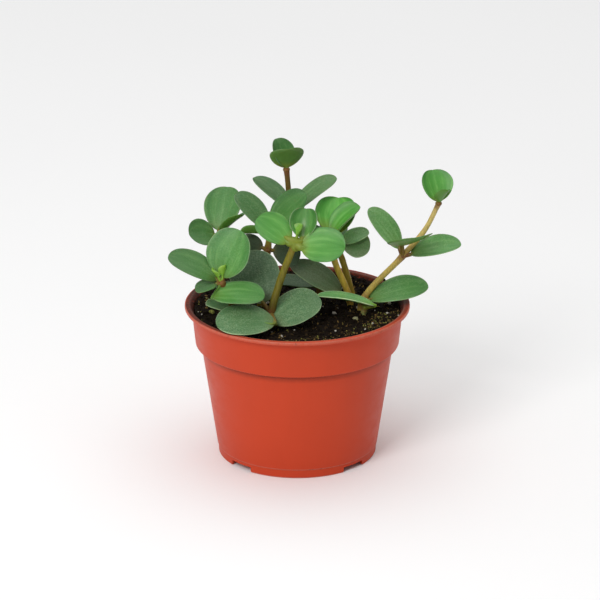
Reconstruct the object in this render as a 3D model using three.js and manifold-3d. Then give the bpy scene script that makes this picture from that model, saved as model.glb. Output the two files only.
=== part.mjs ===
// A potted peperomia: leafy stems in dark soil, in a thin-walled nursery pot.
// Millimetres, +Z up. The plant is laid out round the pot's axis, with the table at z = 0
// and the side that is seen first towards -Y. At the end the group is centred on its own box.
import * as THREE from 'three';
import { mergeVertices } from 'three/addons/utils/BufferGeometryUtils.js';
import Module from 'manifold-3d';

const wasm = await Module();
wasm.setup();

// ---------------------------------------------------------------- driving dimensions

const GAP = 0.35; // clearance between neighbouring solids

// Pot: radii and heights of the outside, then the wall.
const POT_SIDES = 40;
const POT_HEIGHT = 75.1;
const LIP_RADIUS = 54;
const LIP_FLAT = 2.6; // width of the lip's flat top
const LIP_DEPTH = 1.5;
const LIP_INSIDE = 2.4; // how far below the lip's top its slope meets the band's inner face
const BAND_TOP_RADIUS = 50.8;
const BAND_LOW_RADIUS = 49;
const BAND_LOW_Z = 55.7;
const WALL_TOP_RADIUS = 46.4;
const WALL_LOW_RADIUS = 38.9;
const FOOT_LINE_Z = 4.5; // where the tapered wall meets the foot ring
const FOOT_RADIUS = 38.3;
const FOOT_WALL = 1.3;
const WALL = 1.1;
const FLOOR_Z = 3; // underside of the floor, raised on the foot ring
const FLOOR_THICK = 1.2;

// Foot ring: notches between the feet, and a drainage hole inside each notch.
const NOTCH_COUNT = 4;
const NOTCH_FIRST_DEG = 45;
const NOTCH_WIDTH = 12.6;
const NOTCH_HEIGHT = 2.6; // a little under the floor, so that a step is left there
const NOTCH_FLARE = 1.2; // bevel of the feet's lower corners
const NOTCH_REACH = 8; // how far a notch is cut in from 2 mm outside the foot ring
const DRAIN_RADIUS = 4;
const DRAIN_SIDES = 8;
const DRAIN_CIRCLE = 29; // distance of the holes from the pot's axis

// Soil: mean height of its top, how much it swells and lumps, the lengths of those waves
// along X and Y, and how much it climbs towards the back.
const SOIL_Z = 71;
const SOIL_RINGS = 7;
const SOIL_SWELL = 0.5;
const SWELL_WAVE = [9, 11];
const SOIL_LUMP = 0.4;
const LUMP_WAVE = [2.9, 2.5];
const RIDGE_WAVE = [4.3, 3.7];
const SOIL_CLIMB = 0.02;
const SOIL_SLACK = 0.1; // extra clearance to the pot, for both being faceted

// Leaves and stems.
const STEM_SIDES = 8;
const COLLAR_SIDES = 7;
const COLLAR_ROWS = 4;
const COLLAR_WALL = 1.1; // thickness of a whorl's collar round its stem
const COLLAR_HEIGHT = 0.8; // its height, as a share of its width
const LEAF_ROWS = 6; // rows of a blade from its base to its tip
const LEAF_THICK = 1.3; // thickness along the midrib, near the blade's base
const LEAF_THINNING = 0.35; // how much of it is lost towards the tip
const LEAF_WIDEST = 1.12; // above 1 the widest place moves past the middle of the blade
const INNER_RIB = 0.55; // side points of a blade's section, as a share of its half width
const RIB_THICKNESS = 0.85; // thickness there, as a share of the middle's
const STALK_RADIUS = 1.05;
const STALK_TAPER = 0.45; // radius of the stalk's end inside the blade, as a share
const STALK_SIDES = 5;

// ---------------------------------------------------------------- materials

function finish(color, roughness) {
  return new THREE.MeshStandardMaterial({ color, roughness, metalness: 0 });
}

const POT_PLASTIC = finish(0xc44b30, 0.45);
const SOIL = finish(0x2a201a, 0.95);
const STEM = finish(0x9c8438, 0.5);
const LEAF_YOUNG = finish(0x5aa04b, 0.4);
const LEAF_MATURE = finish(0x5b835b, 0.5);

// ---------------------------------------------------------------- solids

// A closed three.js geometry as a solid, with its corners merged and its empty triangles dropped.
function solid(geometry) {
  const bare = geometry.clone();
  bare.deleteAttribute('normal');
  bare.deleteAttribute('uv');
  const merged = mergeVertices(bare, 1e-4);
  const corners = merged.index.array;
  const kept = [];
  for (let i = 0; i < corners.length; i += 3) {
    const [a, b, c] = [corners[i], corners[i + 1], corners[i + 2]];
    if (a !== b && b !== c && c !== a) kept.push(a, b, c);
  }
  return new wasm.Manifold(
    new wasm.Mesh({
      numProp: 3,
      vertProperties: new Float32Array(merged.attributes.position.array),
      triVerts: new Uint32Array(kept),
    }),
  );
}

function namedMesh(name, body, material) {
  const made = body.getMesh();
  const geometry = new THREE.BufferGeometry();
  geometry.setAttribute('position', new THREE.BufferAttribute(made.vertProperties, made.numProp));
  geometry.setIndex(new THREE.BufferAttribute(made.triVerts, 1));
  geometry.computeVertexNormals();
  const mesh = new THREE.Mesh(geometry, material);
  mesh.name = name;
  return mesh;
}

// A skin over rings of equally many points, closed at both ends. Rings run anticlockwise as
// seen from the far end. An end that is a single point is given as a ring of one.
function loft(rings) {
  const points = rings.flat();
  const starts = [];
  let count = 0;
  for (const ring of rings) {
    starts.push(count);
    count += ring.length;
  }
  const faces = [];
  for (let row = 0; row + 1 < rings.length; row++) {
    const near = rings[row].length;
    const far = rings[row + 1].length;
    const sides = Math.max(near, far);
    for (let side = 0; side < sides; side++) {
      const next = (side + 1) % sides;
      const a = starts[row] + (near === 1 ? 0 : side);
      const b = starts[row] + (near === 1 ? 0 : next);
      const c = starts[row + 1] + (far === 1 ? 0 : next);
      const d = starts[row + 1] + (far === 1 ? 0 : side);
      if (near > 1) faces.push(a, b, c);
      if (far > 1) faces.push(a, c, d);
    }
  }
  const geometry = new THREE.BufferGeometry().setFromPoints(points);
  geometry.setIndex(faces);
  return geometry;
}

function centreOf(ring) {
  const middle = new THREE.Vector3();
  for (const point of ring) middle.add(point);
  return middle.divideScalar(ring.length);
}

function radians(degrees) {
  return THREE.MathUtils.degToRad(degrees);
}

// ---------------------------------------------------------------- pot

function potInnerRadius(z) {
  if (z > BAND_LOW_Z) {
    const share = (z - BAND_LOW_Z) / (POT_HEIGHT - LIP_DEPTH - BAND_LOW_Z);
    return THREE.MathUtils.lerp(BAND_LOW_RADIUS, BAND_TOP_RADIUS, share) - WALL;
  }
  const share = (z - FOOT_LINE_Z) / (BAND_LOW_Z - FOOT_LINE_Z);
  return THREE.MathUtils.lerp(WALL_LOW_RADIUS, WALL_TOP_RADIUS, share) - WALL;
}

function potBody() {
  const bandInside = BAND_LOW_Z + WALL;
  const wallInside = BAND_LOW_Z - WALL;
  const lipUnder = POT_HEIGHT - LIP_DEPTH;
  const floorTop = FLOOR_Z + FLOOR_THICK;
  const profile = [
    [0, FLOOR_Z],
    [FOOT_RADIUS - FOOT_WALL, FLOOR_Z],
    [FOOT_RADIUS - FOOT_WALL, 0],
    [FOOT_RADIUS, 0],
    [WALL_LOW_RADIUS, FOOT_LINE_Z],
    [WALL_TOP_RADIUS, BAND_LOW_Z],
    [BAND_LOW_RADIUS, BAND_LOW_Z],
    [BAND_TOP_RADIUS, lipUnder],
    [LIP_RADIUS, lipUnder],
    [LIP_RADIUS, POT_HEIGHT],
    [LIP_RADIUS - LIP_FLAT, POT_HEIGHT],
    [potInnerRadius(lipUnder), POT_HEIGHT - LIP_INSIDE],
    [potInnerRadius(bandInside), bandInside],
    [potInnerRadius(wallInside), wallInside],
    [potInnerRadius(floorTop), floorTop],
    [0, floorTop],
  ].map(([r, z]) => new THREE.Vector2(r, z));
  const lathe = new THREE.LatheGeometry(profile, POT_SIDES);
  return solid(lathe.rotateX(Math.PI / 2));
}

// A notch through the foot ring, with the feet's corners bevelled at its sides.
function notch() {
  const half = NOTCH_WIDTH / 2;
  const shape = new THREE.Shape();
  shape.moveTo(-half - NOTCH_FLARE, -1);
  shape.lineTo(half + NOTCH_FLARE, -1);
  shape.lineTo(half + NOTCH_FLARE, 0);
  shape.lineTo(half, NOTCH_FLARE);
  shape.lineTo(half, NOTCH_HEIGHT);
  shape.lineTo(-half, NOTCH_HEIGHT);
  shape.lineTo(-half, NOTCH_FLARE);
  shape.lineTo(-half - NOTCH_FLARE, 0);
  const cutter = new THREE.ExtrudeGeometry(shape, { depth: NOTCH_REACH, bevelEnabled: false });
  cutter.rotateX(Math.PI / 2); // shape's height up, extruded towards -Y
  return cutter.translate(0, NOTCH_REACH - 2 - FOOT_RADIUS, 0);
}

function pot() {
  let body = potBody();
  for (let i = 0; i < NOTCH_COUNT; i++) {
    const turn = radians(NOTCH_FIRST_DEG + (i * 360) / NOTCH_COUNT);
    body = body.subtract(solid(notch().rotateZ(turn)));
    const drain = new THREE.CylinderGeometry(DRAIN_RADIUS, DRAIN_RADIUS, 4 * FLOOR_THICK, DRAIN_SIDES);
    drain.rotateX(Math.PI / 2).translate(0, -DRAIN_CIRCLE, FLOOR_Z + FLOOR_THICK / 2).rotateZ(turn);
    body = body.subtract(solid(drain));
  }
  return namedMesh('pot', body, POT_PLASTIC);
}

// ---------------------------------------------------------------- soil

// Height of the soil's top: long swells, short lumps, and a rise to the rim at the back.
function soilHeight(x, y) {
  const swell = Math.sin(x / SWELL_WAVE[0] + 0.6) * Math.cos(y / SWELL_WAVE[1] - 0.4);
  const lump = Math.sin(x / LUMP_WAVE[0] + 2.3) * Math.sin(y / LUMP_WAVE[1] + 0.4);
  const ridge = Math.sin(x / RIDGE_WAVE[0] - y / RIDGE_WAVE[1]);
  return SOIL_Z + SOIL_SWELL * swell + SOIL_LUMP * (lump + ridge) + SOIL_CLIMB * Math.max(0, y);
}

function soilBody() {
  const low = FLOOR_Z + FLOOR_THICK + GAP;
  const wallInside = BAND_LOW_Z - WALL;
  const bandInside = BAND_LOW_Z + WALL;
  const clear = GAP + SOIL_SLACK;
  const turnOf = (side) => (2 * Math.PI * side) / POT_SIDES;
  const level = (radius, height) =>
    Array.from({ length: POT_SIDES }, (_, side) => {
      const x = radius * Math.sin(turnOf(side));
      const y = radius * Math.cos(turnOf(side));
      return new THREE.Vector3(x, y, height ?? soilHeight(x, y));
    });
  const rings = [[new THREE.Vector3(0, 0, low)]];
  rings.push(level(potInnerRadius(low) - clear, low));
  rings.push(level(potInnerRadius(wallInside) - clear, wallInside + GAP));
  rings.push(level(potInnerRadius(bandInside) - clear, bandInside + GAP));
  const top = potInnerRadius(SOIL_Z) - clear - SOIL_SLACK;
  for (let ring = SOIL_RINGS; ring > 0; ring--) rings.push(level((top * ring) / SOIL_RINGS));
  rings.push([new THREE.Vector3(0, 0, soilHeight(0, 0))]);
  return solid(loft(rings.map((ring) => [...ring].reverse())));
}

// ---------------------------------------------------------------- stems

// Each stem: its radius at the foot and at the tip, and the points that its middle passes
// through, from the buried end to the tip. Joints are points of this list, counted from 0.
const STEMS = {
  centre: {
    low: 2,
    high: 1.6,
    path: [[-15, -20, 58], [-12.4, -21, 77.5], [-7.6, -20.5, 95], [-1.2, -20, 112]],
  },
  left_front: {
    low: 1.8,
    high: 1.5,
    path: [[-27, -13, 58], [-29, -14.5, 75], [-32.5, -18, 84], [-35.6, -20, 92.5]],
  },
  left_back: { low: 1.7, high: 1.3, path: [[-24, 10, 58], [-25, 10, 74], [-32, 10, 93], [-37.6, 10, 105.5]] },
  middle: { low: 1.8, high: 1.4, path: [[-19, 6, 58], [-17, 6, 80], [-14.2, 6, 100], [-13, 6, 108.5]] },
  tall: {
    low: 1.9,
    high: 1.2,
    path: [[12, 22, 58], [11, 21, 75], [7.5, 20.5, 89], [2.5, 20.5, 102], [-2.5, 21, 113.5], [-5.2, 22, 135]],
  },
  right_front: {
    low: 1.6,
    high: 1.5,
    path: [[26.5, 6, 58], [24.9, 8.5, 75], [18.2, 10, 92], [15.5, 10, 104]],
  },
  right_back: { low: 1.6, high: 1.5, path: [[28.5, 15, 58], [26.3, 17, 74], [22.5, 19, 88], [19.3, 20, 97]] },
  right: {
    low: 1.7,
    high: 1.25,
    path: [[30, 1.5, 60], [31.5, 3, 75], [50.8, 15, 93.5], [61.6, 18, 106], [68, 20, 118.5]],
  },
  right_foot: { low: 1.4, high: 1.3, path: [[31, -4.6, 60], [31.5, -3.9, 70], [32.5, -3.8, 74.2]] },
};
const STEPS_PER_SPAN = 2; // rings of a stem between two points of its path

// Places along a stem: its middle, its direction and its radius.
function alongStem({ low, high, path }, share) {
  const curve = new THREE.CatmullRomCurve3(path.map((point) => new THREE.Vector3(...point)));
  return {
    middle: curve.getPoint(share),
    along: curve.getTangent(share),
    radius: THREE.MathUtils.lerp(low, high, share),
  };
}

// A ring of points round a place, square to its direction.
function ringRound({ middle, along, radius }, sides) {
  const across = new THREE.Vector3(1, 0, 0).addScaledVector(along, -along.x).normalize();
  const behind = new THREE.Vector3().crossVectors(along, across);
  return Array.from({ length: sides }, (_, side) => {
    const turn = (2 * Math.PI * side) / sides;
    const point = middle.clone().addScaledVector(across, radius * Math.cos(turn));
    return point.addScaledVector(behind, radius * Math.sin(turn));
  });
}

// A tube through places, closed at both ends.
function tube(places, sides) {
  const rings = places.map((place) => ringRound(place, sides));
  return solid(loft([[centreOf(rings[0])], ...rings, [centreOf(rings.at(-1))]]));
}

// A stem, or the space it stands in when grown by a clearance.
function stemBody(stem, grown = 0) {
  const steps = STEPS_PER_SPAN * (stem.path.length - 1);
  const places = Array.from({ length: steps + 1 }, (_, step) => alongStem(stem, step / steps));
  for (const place of places) place.radius += grown;
  places[0].middle.addScaledVector(places[0].along, -grown);
  places[steps].middle.addScaledVector(places[steps].along, grown);
  return tube(places, STEM_SIDES);
}

// ---------------------------------------------------------------- leaves

// One leaf: an oval blade on a short round stalk that starts in the joint.
// heading: compass way the blade points, 0 along +X and 90 along +Y. rise: how steeply its
// middle line climbs. roll: turn about that line, positive turns its upper face to its left.
// cup: how far its sides stand up, as a share of its half width. arch: how far it bends down
// from base to tip. stalk: length of the stalk. toward, climb: heading and rise of the stalk,
// the blade's own where they aren't given. Angles in degrees, lengths in millimetres.
function leaf(heading, rise, roll, length, width, options = {}) {
  const { cup = 0.2, arch = 20, stalk = 2.5 } = options;
  const { toward = heading, climb = rise + arch / 2 } = options;
  return { heading, rise, roll, length, width, cup, arch, stalk, toward, climb };
}

function direction(heading, rise) {
  const flat = Math.cos(rise);
  return new THREE.Vector3(flat * Math.cos(heading), flat * Math.sin(heading), Math.sin(rise));
}

// Where the blade's middle line is after a share of its length, and how steep it is there.
function alongBlade(spec, share) {
  const bend = radians(spec.arch || 0.01);
  const first = radians(spec.rise) + bend / 2;
  const slope = first - bend * share;
  const out = (spec.length * (Math.sin(first) - Math.sin(slope))) / bend;
  const up = (spec.length * (Math.cos(slope) - Math.cos(first))) / bend;
  return { out, up, slope };
}

// The blade's half width, an oval whose widest place is a little past its middle.
function halfWidth(spec, share) {
  const eased = share ** LEAF_WIDEST;
  return spec.width * Math.sqrt(Math.max(0, eased * (1 - eased)));
}

// The closed outline of the blade's section, square to its middle line.
function bladeSection(spec, share, half, thick) {
  const { out, up, slope } = alongBlade(spec, share);
  const heading = radians(spec.heading);
  const roll = radians(spec.roll);
  const along = direction(heading, slope);
  const level = direction(heading, slope + Math.PI / 2);
  const sideways = new THREE.Vector3().crossVectors(level, along);
  const normal = level.clone().multiplyScalar(Math.cos(roll)).addScaledVector(sideways, Math.sin(roll));
  const left = sideways.clone().multiplyScalar(Math.cos(roll)).addScaledVector(level, -Math.sin(roll));
  const middle = direction(heading, 0).multiplyScalar(out).setZ(up);
  const corner = (across, rise) => {
    const lift = rise + spec.cup * half * across * across;
    return middle.clone().addScaledVector(left, half * across).addScaledVector(normal, lift);
  };
  const side = INNER_RIB;
  const low = RIB_THICKNESS * thick;
  return [
    corner(1, 0),
    corner(side, low),
    corner(0, thick),
    corner(-side, low),
    corner(-1, 0),
    corner(-side, -low),
    corner(0, -thick),
    corner(side, -low),
  ];
}

function leafBody(spec, joint) {
  const reach = direction(radians(spec.toward), radians(spec.climb));
  const foot = new THREE.Vector3(...joint);
  const start = foot.clone().addScaledVector(reach, spec.stalk);
  const rings = [];
  for (let row = 0; row < LEAF_ROWS; row++) {
    const share = 0.5 - 0.5 * Math.cos((Math.PI * row) / LEAF_ROWS);
    const half = Math.max(STALK_RADIUS, halfWidth(spec, share));
    const thick = row === 0 ? STALK_RADIUS * 0.8 : (LEAF_THICK / 2) * (1.1 - LEAF_THINNING * share);
    rings.push(bladeSection(spec, share, half, thick));
  }
  const tip = centreOf(bladeSection(spec, 1, 0, 0));
  const blade = loft([[centreOf(rings[0])], ...rings, [tip]]).translate(start.x, start.y, start.z);
  const sunk = start.clone().add(centreOf(rings[1]));
  const stalk = tube(
    [
      { middle: foot, along: reach, radius: STALK_RADIUS },
      { middle: sunk, along: reach, radius: STALK_RADIUS * STALK_TAPER },
    ],
    STALK_SIDES,
  );
  return solid(blade).add(stalk);
}

// ---------------------------------------------------------------- whorls

// Each whorl: the stem it grows on, the point of that stem's path it grows at, and its leaves.
const WHORLS = {
  centre_top: {
    stem: 'centre',
    joint: 3,
    material: LEAF_YOUNG,
    leaves: [
      leaf(160, 32, 30, 19, 17, { cup: 0.2, toward: 200, climb: 15, stalk: 3 }),
      leaf(80, 52, 0, 15, 13.5, { cup: 0.5, toward: 15, climb: 30, stalk: 4.5 }),
      leaf(350, 2, -45, 21, 19, { toward: 320, climb: -15, stalk: 4 }),
      leaf(30, 60, 0, 6, 6, { cup: 0.6, stalk: 4 }),
    ],
  },
  centre_foot: {
    stem: 'centre',
    joint: 1,
    material: LEAF_MATURE,
    leaves: [
      leaf(190, 1.5, 22, 28, 22, { cup: 0.1, toward: 280, climb: -2, stalk: 11 }),
      leaf(28, 22, -25, 26, 20.5, { cup: 0.1, toward: 285, climb: -30, stalk: 6.5 }),
      leaf(117, 43, 15, 28, 25, { toward: 150, climb: 45, stalk: 6 }),
    ],
  },
  left_front: {
    stem: 'left_front',
    joint: 3,
    material: LEAF_YOUNG,
    leaves: [
      leaf(173, 25, 25, 26, 16),
      leaf(37, 65, -25, 24, 23, { cup: 0.2 }),
      leaf(352, 2, -25, 25, 16, { toward: 222, climb: -42, stalk: 8 }),
      leaf(195, -16, 10, 10.5, 11),
      leaf(215, 50, 10, 5.5, 5, { cup: 0.4, stalk: 4 }),
      leaf(330, 74, 10, 5.5, 5, { cup: 0.4, stalk: 4 }),
    ],
  },
  left_foot: {
    stem: 'left_front',
    joint: 1,
    material: LEAF_MATURE,
    leaves: [leaf(200, 22, 15, 14, 10), leaf(110, 32, 0, 17, 14)],
  },
  left_back: {
    stem: 'left_back',
    joint: 3,
    material: LEAF_YOUNG,
    leaves: [
      leaf(75, 50, 0, 23, 18.5, { cup: 0.25 }),
      leaf(215, 12, 45, 15, 15),
      leaf(338, 42, 8, 16, 13, { cup: 0.3 }),
    ],
  },
  middle_top: {
    stem: 'middle',
    joint: 3,
    material: LEAF_MATURE,
    leaves: [
      leaf(165, 45, 20, 22.5, 15),
      leaf(357, 48, -45, 24, 16.5),
      leaf(190, 4, -45, 12, 9),
      leaf(95, 4, 0, 17, 12),
    ],
  },
  middle_low: {
    stem: 'middle',
    joint: 2,
    material: LEAF_MATURE,
    leaves: [leaf(8, -22, -52, 14, 14), leaf(170, 6, 42, 12.5, 11)],
  },
  tall_middle: {
    stem: 'tall',
    joint: 4,
    material: LEAF_MATURE,
    leaves: [leaf(150, 33, 0, 23.5, 14.5), leaf(15, 35, -10, 25, 14.5), leaf(85, 10, 0, 18, 13)],
  },
  tall_top: {
    stem: 'tall',
    joint: 5,
    material: LEAF_YOUNG,
    leaves: [
      leaf(285, 66, 0, 12, 17, { cup: 0.25, stalk: 1 }),
      leaf(130, 62, 0, 15, 13, { cup: 0.3, stalk: 1 }),
    ],
  },
  tall_foot: {
    stem: 'tall',
    joint: 1,
    material: LEAF_MATURE,
    leaves: [leaf(185, 8, 10, 22, 12)],
  },
  right_front: {
    stem: 'right_front',
    joint: 3,
    material: LEAF_YOUNG,
    leaves: [
      leaf(82, 48, 0, 19.5, 20, { cup: 0.5, toward: 40, climb: 25, stalk: 3.5 }),
      leaf(14, 44, -10, 19, 15, { cup: 0.5 }),
      leaf(170, 15, 10, 13, 11),
    ],
  },
  right_back: {
    stem: 'right_back',
    joint: 3,
    material: LEAF_MATURE,
    leaves: [
      leaf(0, -5, -40, 13.5, 15.5),
      leaf(12, 20, -30, 14.5, 9),
      leaf(100, 25, 0, 18, 14),
    ],
  },
  right_front_foot: {
    stem: 'right_front',
    joint: 1,
    material: LEAF_MATURE,
    leaves: [leaf(171, 29, 20, 28.5, 17, { toward: 180, climb: 20, stalk: 4 })],
  },
  right_foot: {
    stem: 'right_foot',
    joint: 2,
    material: LEAF_YOUNG,
    leaves: [leaf(176, 9, -6, 28, 14, { toward: 340, climb: 15, stalk: 5 })],
  },
  right_middle: {
    stem: 'right',
    joint: 2,
    material: LEAF_MATURE,
    leaves: [
      leaf(163, 50, 35, 24.5, 12, { toward: 140, climb: 60, stalk: 4 }),
      leaf(295, 29, -1, 19, 23.5, { cup: 0.1, arch: 8, toward: 260, climb: 70, stalk: 6.6 }),
      leaf(0, 12, -18, 25, 16, { toward: 350, climb: 15, stalk: 4 }),
    ],
  },
  right_low: {
    stem: 'right',
    joint: 1,
    material: LEAF_MATURE,
    leaves: [leaf(5, 12, -25, 29, 16.5, { toward: 350, climb: 12, stalk: 3.5 })],
  },
  right_top: {
    stem: 'right',
    joint: 4,
    material: LEAF_YOUNG,
    leaves: [
      leaf(108, 57, 0, 16, 16, { cup: 0.4, stalk: 1 }),
      leaf(336, 55, 15, 8, 10, { cup: 0.4, stalk: 1 }),
    ],
  },
};

// A whorl's leaves are fused to an upright oval collar round the joint, and the stem's own
// space is cut out of it.
function whorlBody({ stem, joint, leaves }) {
  const { path } = STEMS[stem];
  const place = alongStem(STEMS[stem], joint / (path.length - 1));
  const ball = new THREE.SphereGeometry(place.radius + GAP + COLLAR_WALL, COLLAR_SIDES, COLLAR_ROWS);
  let body = solid(ball.scale(1, 1, COLLAR_HEIGHT).translate(...path[joint]));
  for (const spec of leaves) body = body.add(leafBody(spec, path[joint]));
  return body.subtract(stemBody(STEMS[stem], GAP));
}

// ---------------------------------------------------------------- the whole plant in its pot

const plant = new THREE.Group();
plant.add(pot());

let soil = soilBody();
for (const stem of Object.values(STEMS)) soil = soil.subtract(stemBody(stem, GAP));
plant.add(namedMesh('soil', soil, SOIL));

for (const [name, stem] of Object.entries(STEMS)) {
  plant.add(namedMesh('stem_' + name, stemBody(stem), STEM));
}
for (const [name, whorl] of Object.entries(WHORLS)) {
  plant.add(namedMesh('leaves_' + name, whorlBody(whorl), whorl.material));
}

// The origin is under the middle of the whole object's box, on the table.
const box = new THREE.Box3().setFromObject(plant);
const middle = box.getCenter(new THREE.Vector3());
plant.position.set(-middle.x, -middle.y, 0);

export default plant;
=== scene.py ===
"""A potted peperomia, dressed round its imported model: whorls of thick oval leaves on bare
golden stems, dark soil with bark and perlite, and a thin terracotta-coloured nursery pot.

The plant is laid out in millimetres round the pot's axis, with the table at height 0.
"""

import math

import bmesh
import bpy
import numpy as np
from mathutils import Matrix, Vector, noise


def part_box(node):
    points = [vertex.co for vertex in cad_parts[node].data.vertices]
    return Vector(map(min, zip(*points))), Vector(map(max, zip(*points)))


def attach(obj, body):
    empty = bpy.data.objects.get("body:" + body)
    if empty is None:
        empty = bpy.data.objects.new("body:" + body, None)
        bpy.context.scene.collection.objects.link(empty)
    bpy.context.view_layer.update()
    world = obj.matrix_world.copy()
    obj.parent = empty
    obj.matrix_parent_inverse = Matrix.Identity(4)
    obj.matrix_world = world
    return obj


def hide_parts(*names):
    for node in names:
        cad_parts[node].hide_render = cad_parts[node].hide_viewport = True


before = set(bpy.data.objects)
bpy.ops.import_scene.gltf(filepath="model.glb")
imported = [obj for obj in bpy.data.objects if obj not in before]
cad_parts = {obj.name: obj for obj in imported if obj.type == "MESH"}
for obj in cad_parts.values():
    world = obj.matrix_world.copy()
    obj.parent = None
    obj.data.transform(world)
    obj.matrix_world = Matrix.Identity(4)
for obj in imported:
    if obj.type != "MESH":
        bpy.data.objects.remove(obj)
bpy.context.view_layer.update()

bl_info = {
    "name": "Potted peperomia",
    "version": (1, 0, 0),
    "blender": (4, 5, 0),
    "location": "View3D > Sidebar > Peperomia",
    "description": "Makes the pot, soil, stems and leaves of a young peperomia, and its stage",
    "category": "Add Mesh",
}

BODY = "root"
MM = 0.001
POT_LOW, POT_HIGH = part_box("pot")
AXIS = Vector(((POT_LOW.x + POT_HIGH.x) / 2, (POT_LOW.y + POT_HIGH.y) / 2, 0))

# ------------------------------------------------------------------ sizes of the pot and soil, mm

POT_SEGMENTS = 192
POT_HEIGHT = 75.1
LIP_RADIUS = 54.0
LIP_FLAT = 2.6
LIP_DEPTH = 1.5
LIP_INSIDE = 2.4
BAND_TOP_RADIUS = 50.8
BAND_LOW_RADIUS = 49.0
BAND_LOW_Z = 55.7
WALL_TOP_RADIUS = 46.4
WALL_LOW_RADIUS = 38.9
FOOT_LINE_Z = 4.5
FOOT_RADIUS = 38.3
FOOT_WALL = 1.3
FOOT_STEP = 0.2
WALL = 1.1
FLOOR_Z = 3.0
FLOOR_THICK = 1.2
NOTCH_COUNT = 4
NOTCH_FIRST_DEG = 45
NOTCH_WIDTH = 12.6
NOTCH_HEIGHT = 2.6
NOTCH_FLARE = 1.2
NOTCH_REACH = 8.0
DRAIN_RADIUS = 4.0
DRAIN_CIRCLE = 29.0
DRAIN_SIDES = 40
CREASE_REACH = 0.7  # how far from the fold under the band its painted shade reaches
SHARP_DEG = 42  # edges of the moulding that are sharper than this stay crisp
SHADED_SIDE = math.radians(150)  # the painted shade, with soil stain, inside the lip is darkest here, counted from the front to the right
STAIN_AND_SHADE_DEPTH = 0.9  # how far below the lip the painted shade and soil stain reach their full strength

SOIL_Z = 71.0
SOIL_SWELL = 0.5
SWELL_WAVE = (9.0, 11.0)
SOIL_LUMP = 0.4
LUMP_WAVE = (2.9, 2.5)
RIDGE_WAVE = (4.3, 3.7)
SOIL_CLIMB = 0.02
SOIL_RINGS = 52
SOIL_SEGMENTS = 150
GRAIN_REACH = 48.4  # grains fall inside this radius
MOSS_FROM = 37.0
CLUMP = 3.2
CLUMP_LEVEL = -0.08
STONE_ROWS = 10
STONE_SIDES = 14
STONE_TURN = 2.4  # how far each stone is turned, and tipped, past the one before, in radians
STONE_TIP = 0.3
STONE_BULGE = 0.45

# ------------------------------------------------------------------ sizes of stems and leaves, mm

LEAF_THICK = 1.3
LEAF_THINNING = 0.35
LEAF_WIDEST = 1.12
BLADE_ROWS = 44
BLADE_SIDES = 44
EDGE_FULLNESS = 0.72
STALK_RADIUS = 1.05
STALK_STEPS = 18
STEM_STEPS = 70
SWEEP_SIDES = 16
VEINS = (0.0, 0.34, 0.66)
SHEATH_SIDES = 28
COLLAR_ROWS = 10
COLLAR_SIDES = 24
COLLAR_LOBE = 0.08  # how far its three lobes stand out, as a share of its radius
COLLAR_HEIGHT = 0.8  # half its height as a share of its radius
JOINT_REACH = 2.6  # how far from a joint the stem is swollen and red
STEM_WAVE = 0.03
VEIN_WIDTH = 0.055  # as a share of half the blade's width
OUTLINE_WAVE = 0.015
RIPPLE = 0.16
RIM_WIDTH = 0.55
BASE_TAPER = 4.0  # a blade's base is as wide as its stalk up to a quarter of its length
LEAF_VALUES = ("fresh", "tone", "rim", "brown", "fold", "red")

# Each stem: radius at the foot and tip, its colours there, and the points its middle passes.
GOLD = (0.46, 0.33, 0.050)
OLIVE = (0.215, 0.170, 0.018)
STRAW = (0.48, 0.385, 0.15)
UMBER = (0.112, 0.066, 0.012)
KHAKI = (0.19, 0.17, 0.014)
# Painted shade: the centre stem's foot is coloured darker for the shade of the leaves over it.
LEAF_SHADED_FOOT = (0.035, 0.024, 0.003)
SAGE = (0.28, 0.34, 0.11)
STEMS = {
    "centre": (2.0, 1.6, LEAF_SHADED_FOOT, KHAKI,
               [(-15, -20, 58), (-12.4, -21, 77.5), (-7.6, -20.5, 95), (-1.2, -20, 112)]),
    "left_front": (1.8, 1.5, OLIVE, UMBER,
                   [(-27, -13, 58), (-29, -14.5, 75), (-32.5, -18, 84), (-35.6, -20, 92.5)]),
    "left_back": (1.7, 1.3, OLIVE, OLIVE,
                  [(-24, 10, 58), (-25, 10, 74), (-32, 10, 93), (-37.6, 10, 105.5)]),
    "middle": (1.8, 1.4, OLIVE, KHAKI,
               [(-19, 6, 58), (-17, 6, 80), (-14.2, 6, 100), (-13, 6, 108.5)]),
    "tall": (1.9, 1.2, OLIVE, UMBER,
             [(12, 22, 58), (11, 21, 75), (7.5, 20.5, 89), (2.5, 20.5, 102), (-2.5, 21, 113.5),
              (-5.2, 22, 135)]),
    "right_front": (1.6, 1.5, GOLD, GOLD,
                    [(26.5, 6, 58), (24.9, 8.5, 75), (18.2, 10, 92), (15.5, 10, 104)]),
    "right_back": (1.6, 1.5, GOLD, OLIVE,
                   [(28.5, 15, 58), (26.3, 17, 74), (22.5, 19, 88), (19.3, 20, 97)]),
    "right": (1.7, 1.12, GOLD, STRAW,
              [(30, 1.5, 60), (31.5, 3, 75), (50.8, 15, 93.5), (61.6, 18, 106), (68, 20, 118.5)]),
    "right_foot": (1.4, 1.3, SAGE, SAGE,
                   [(31, -4.6, 60), (31.5, -3.9, 70), (32.5, -3.8, 74.2)]),
}


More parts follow.
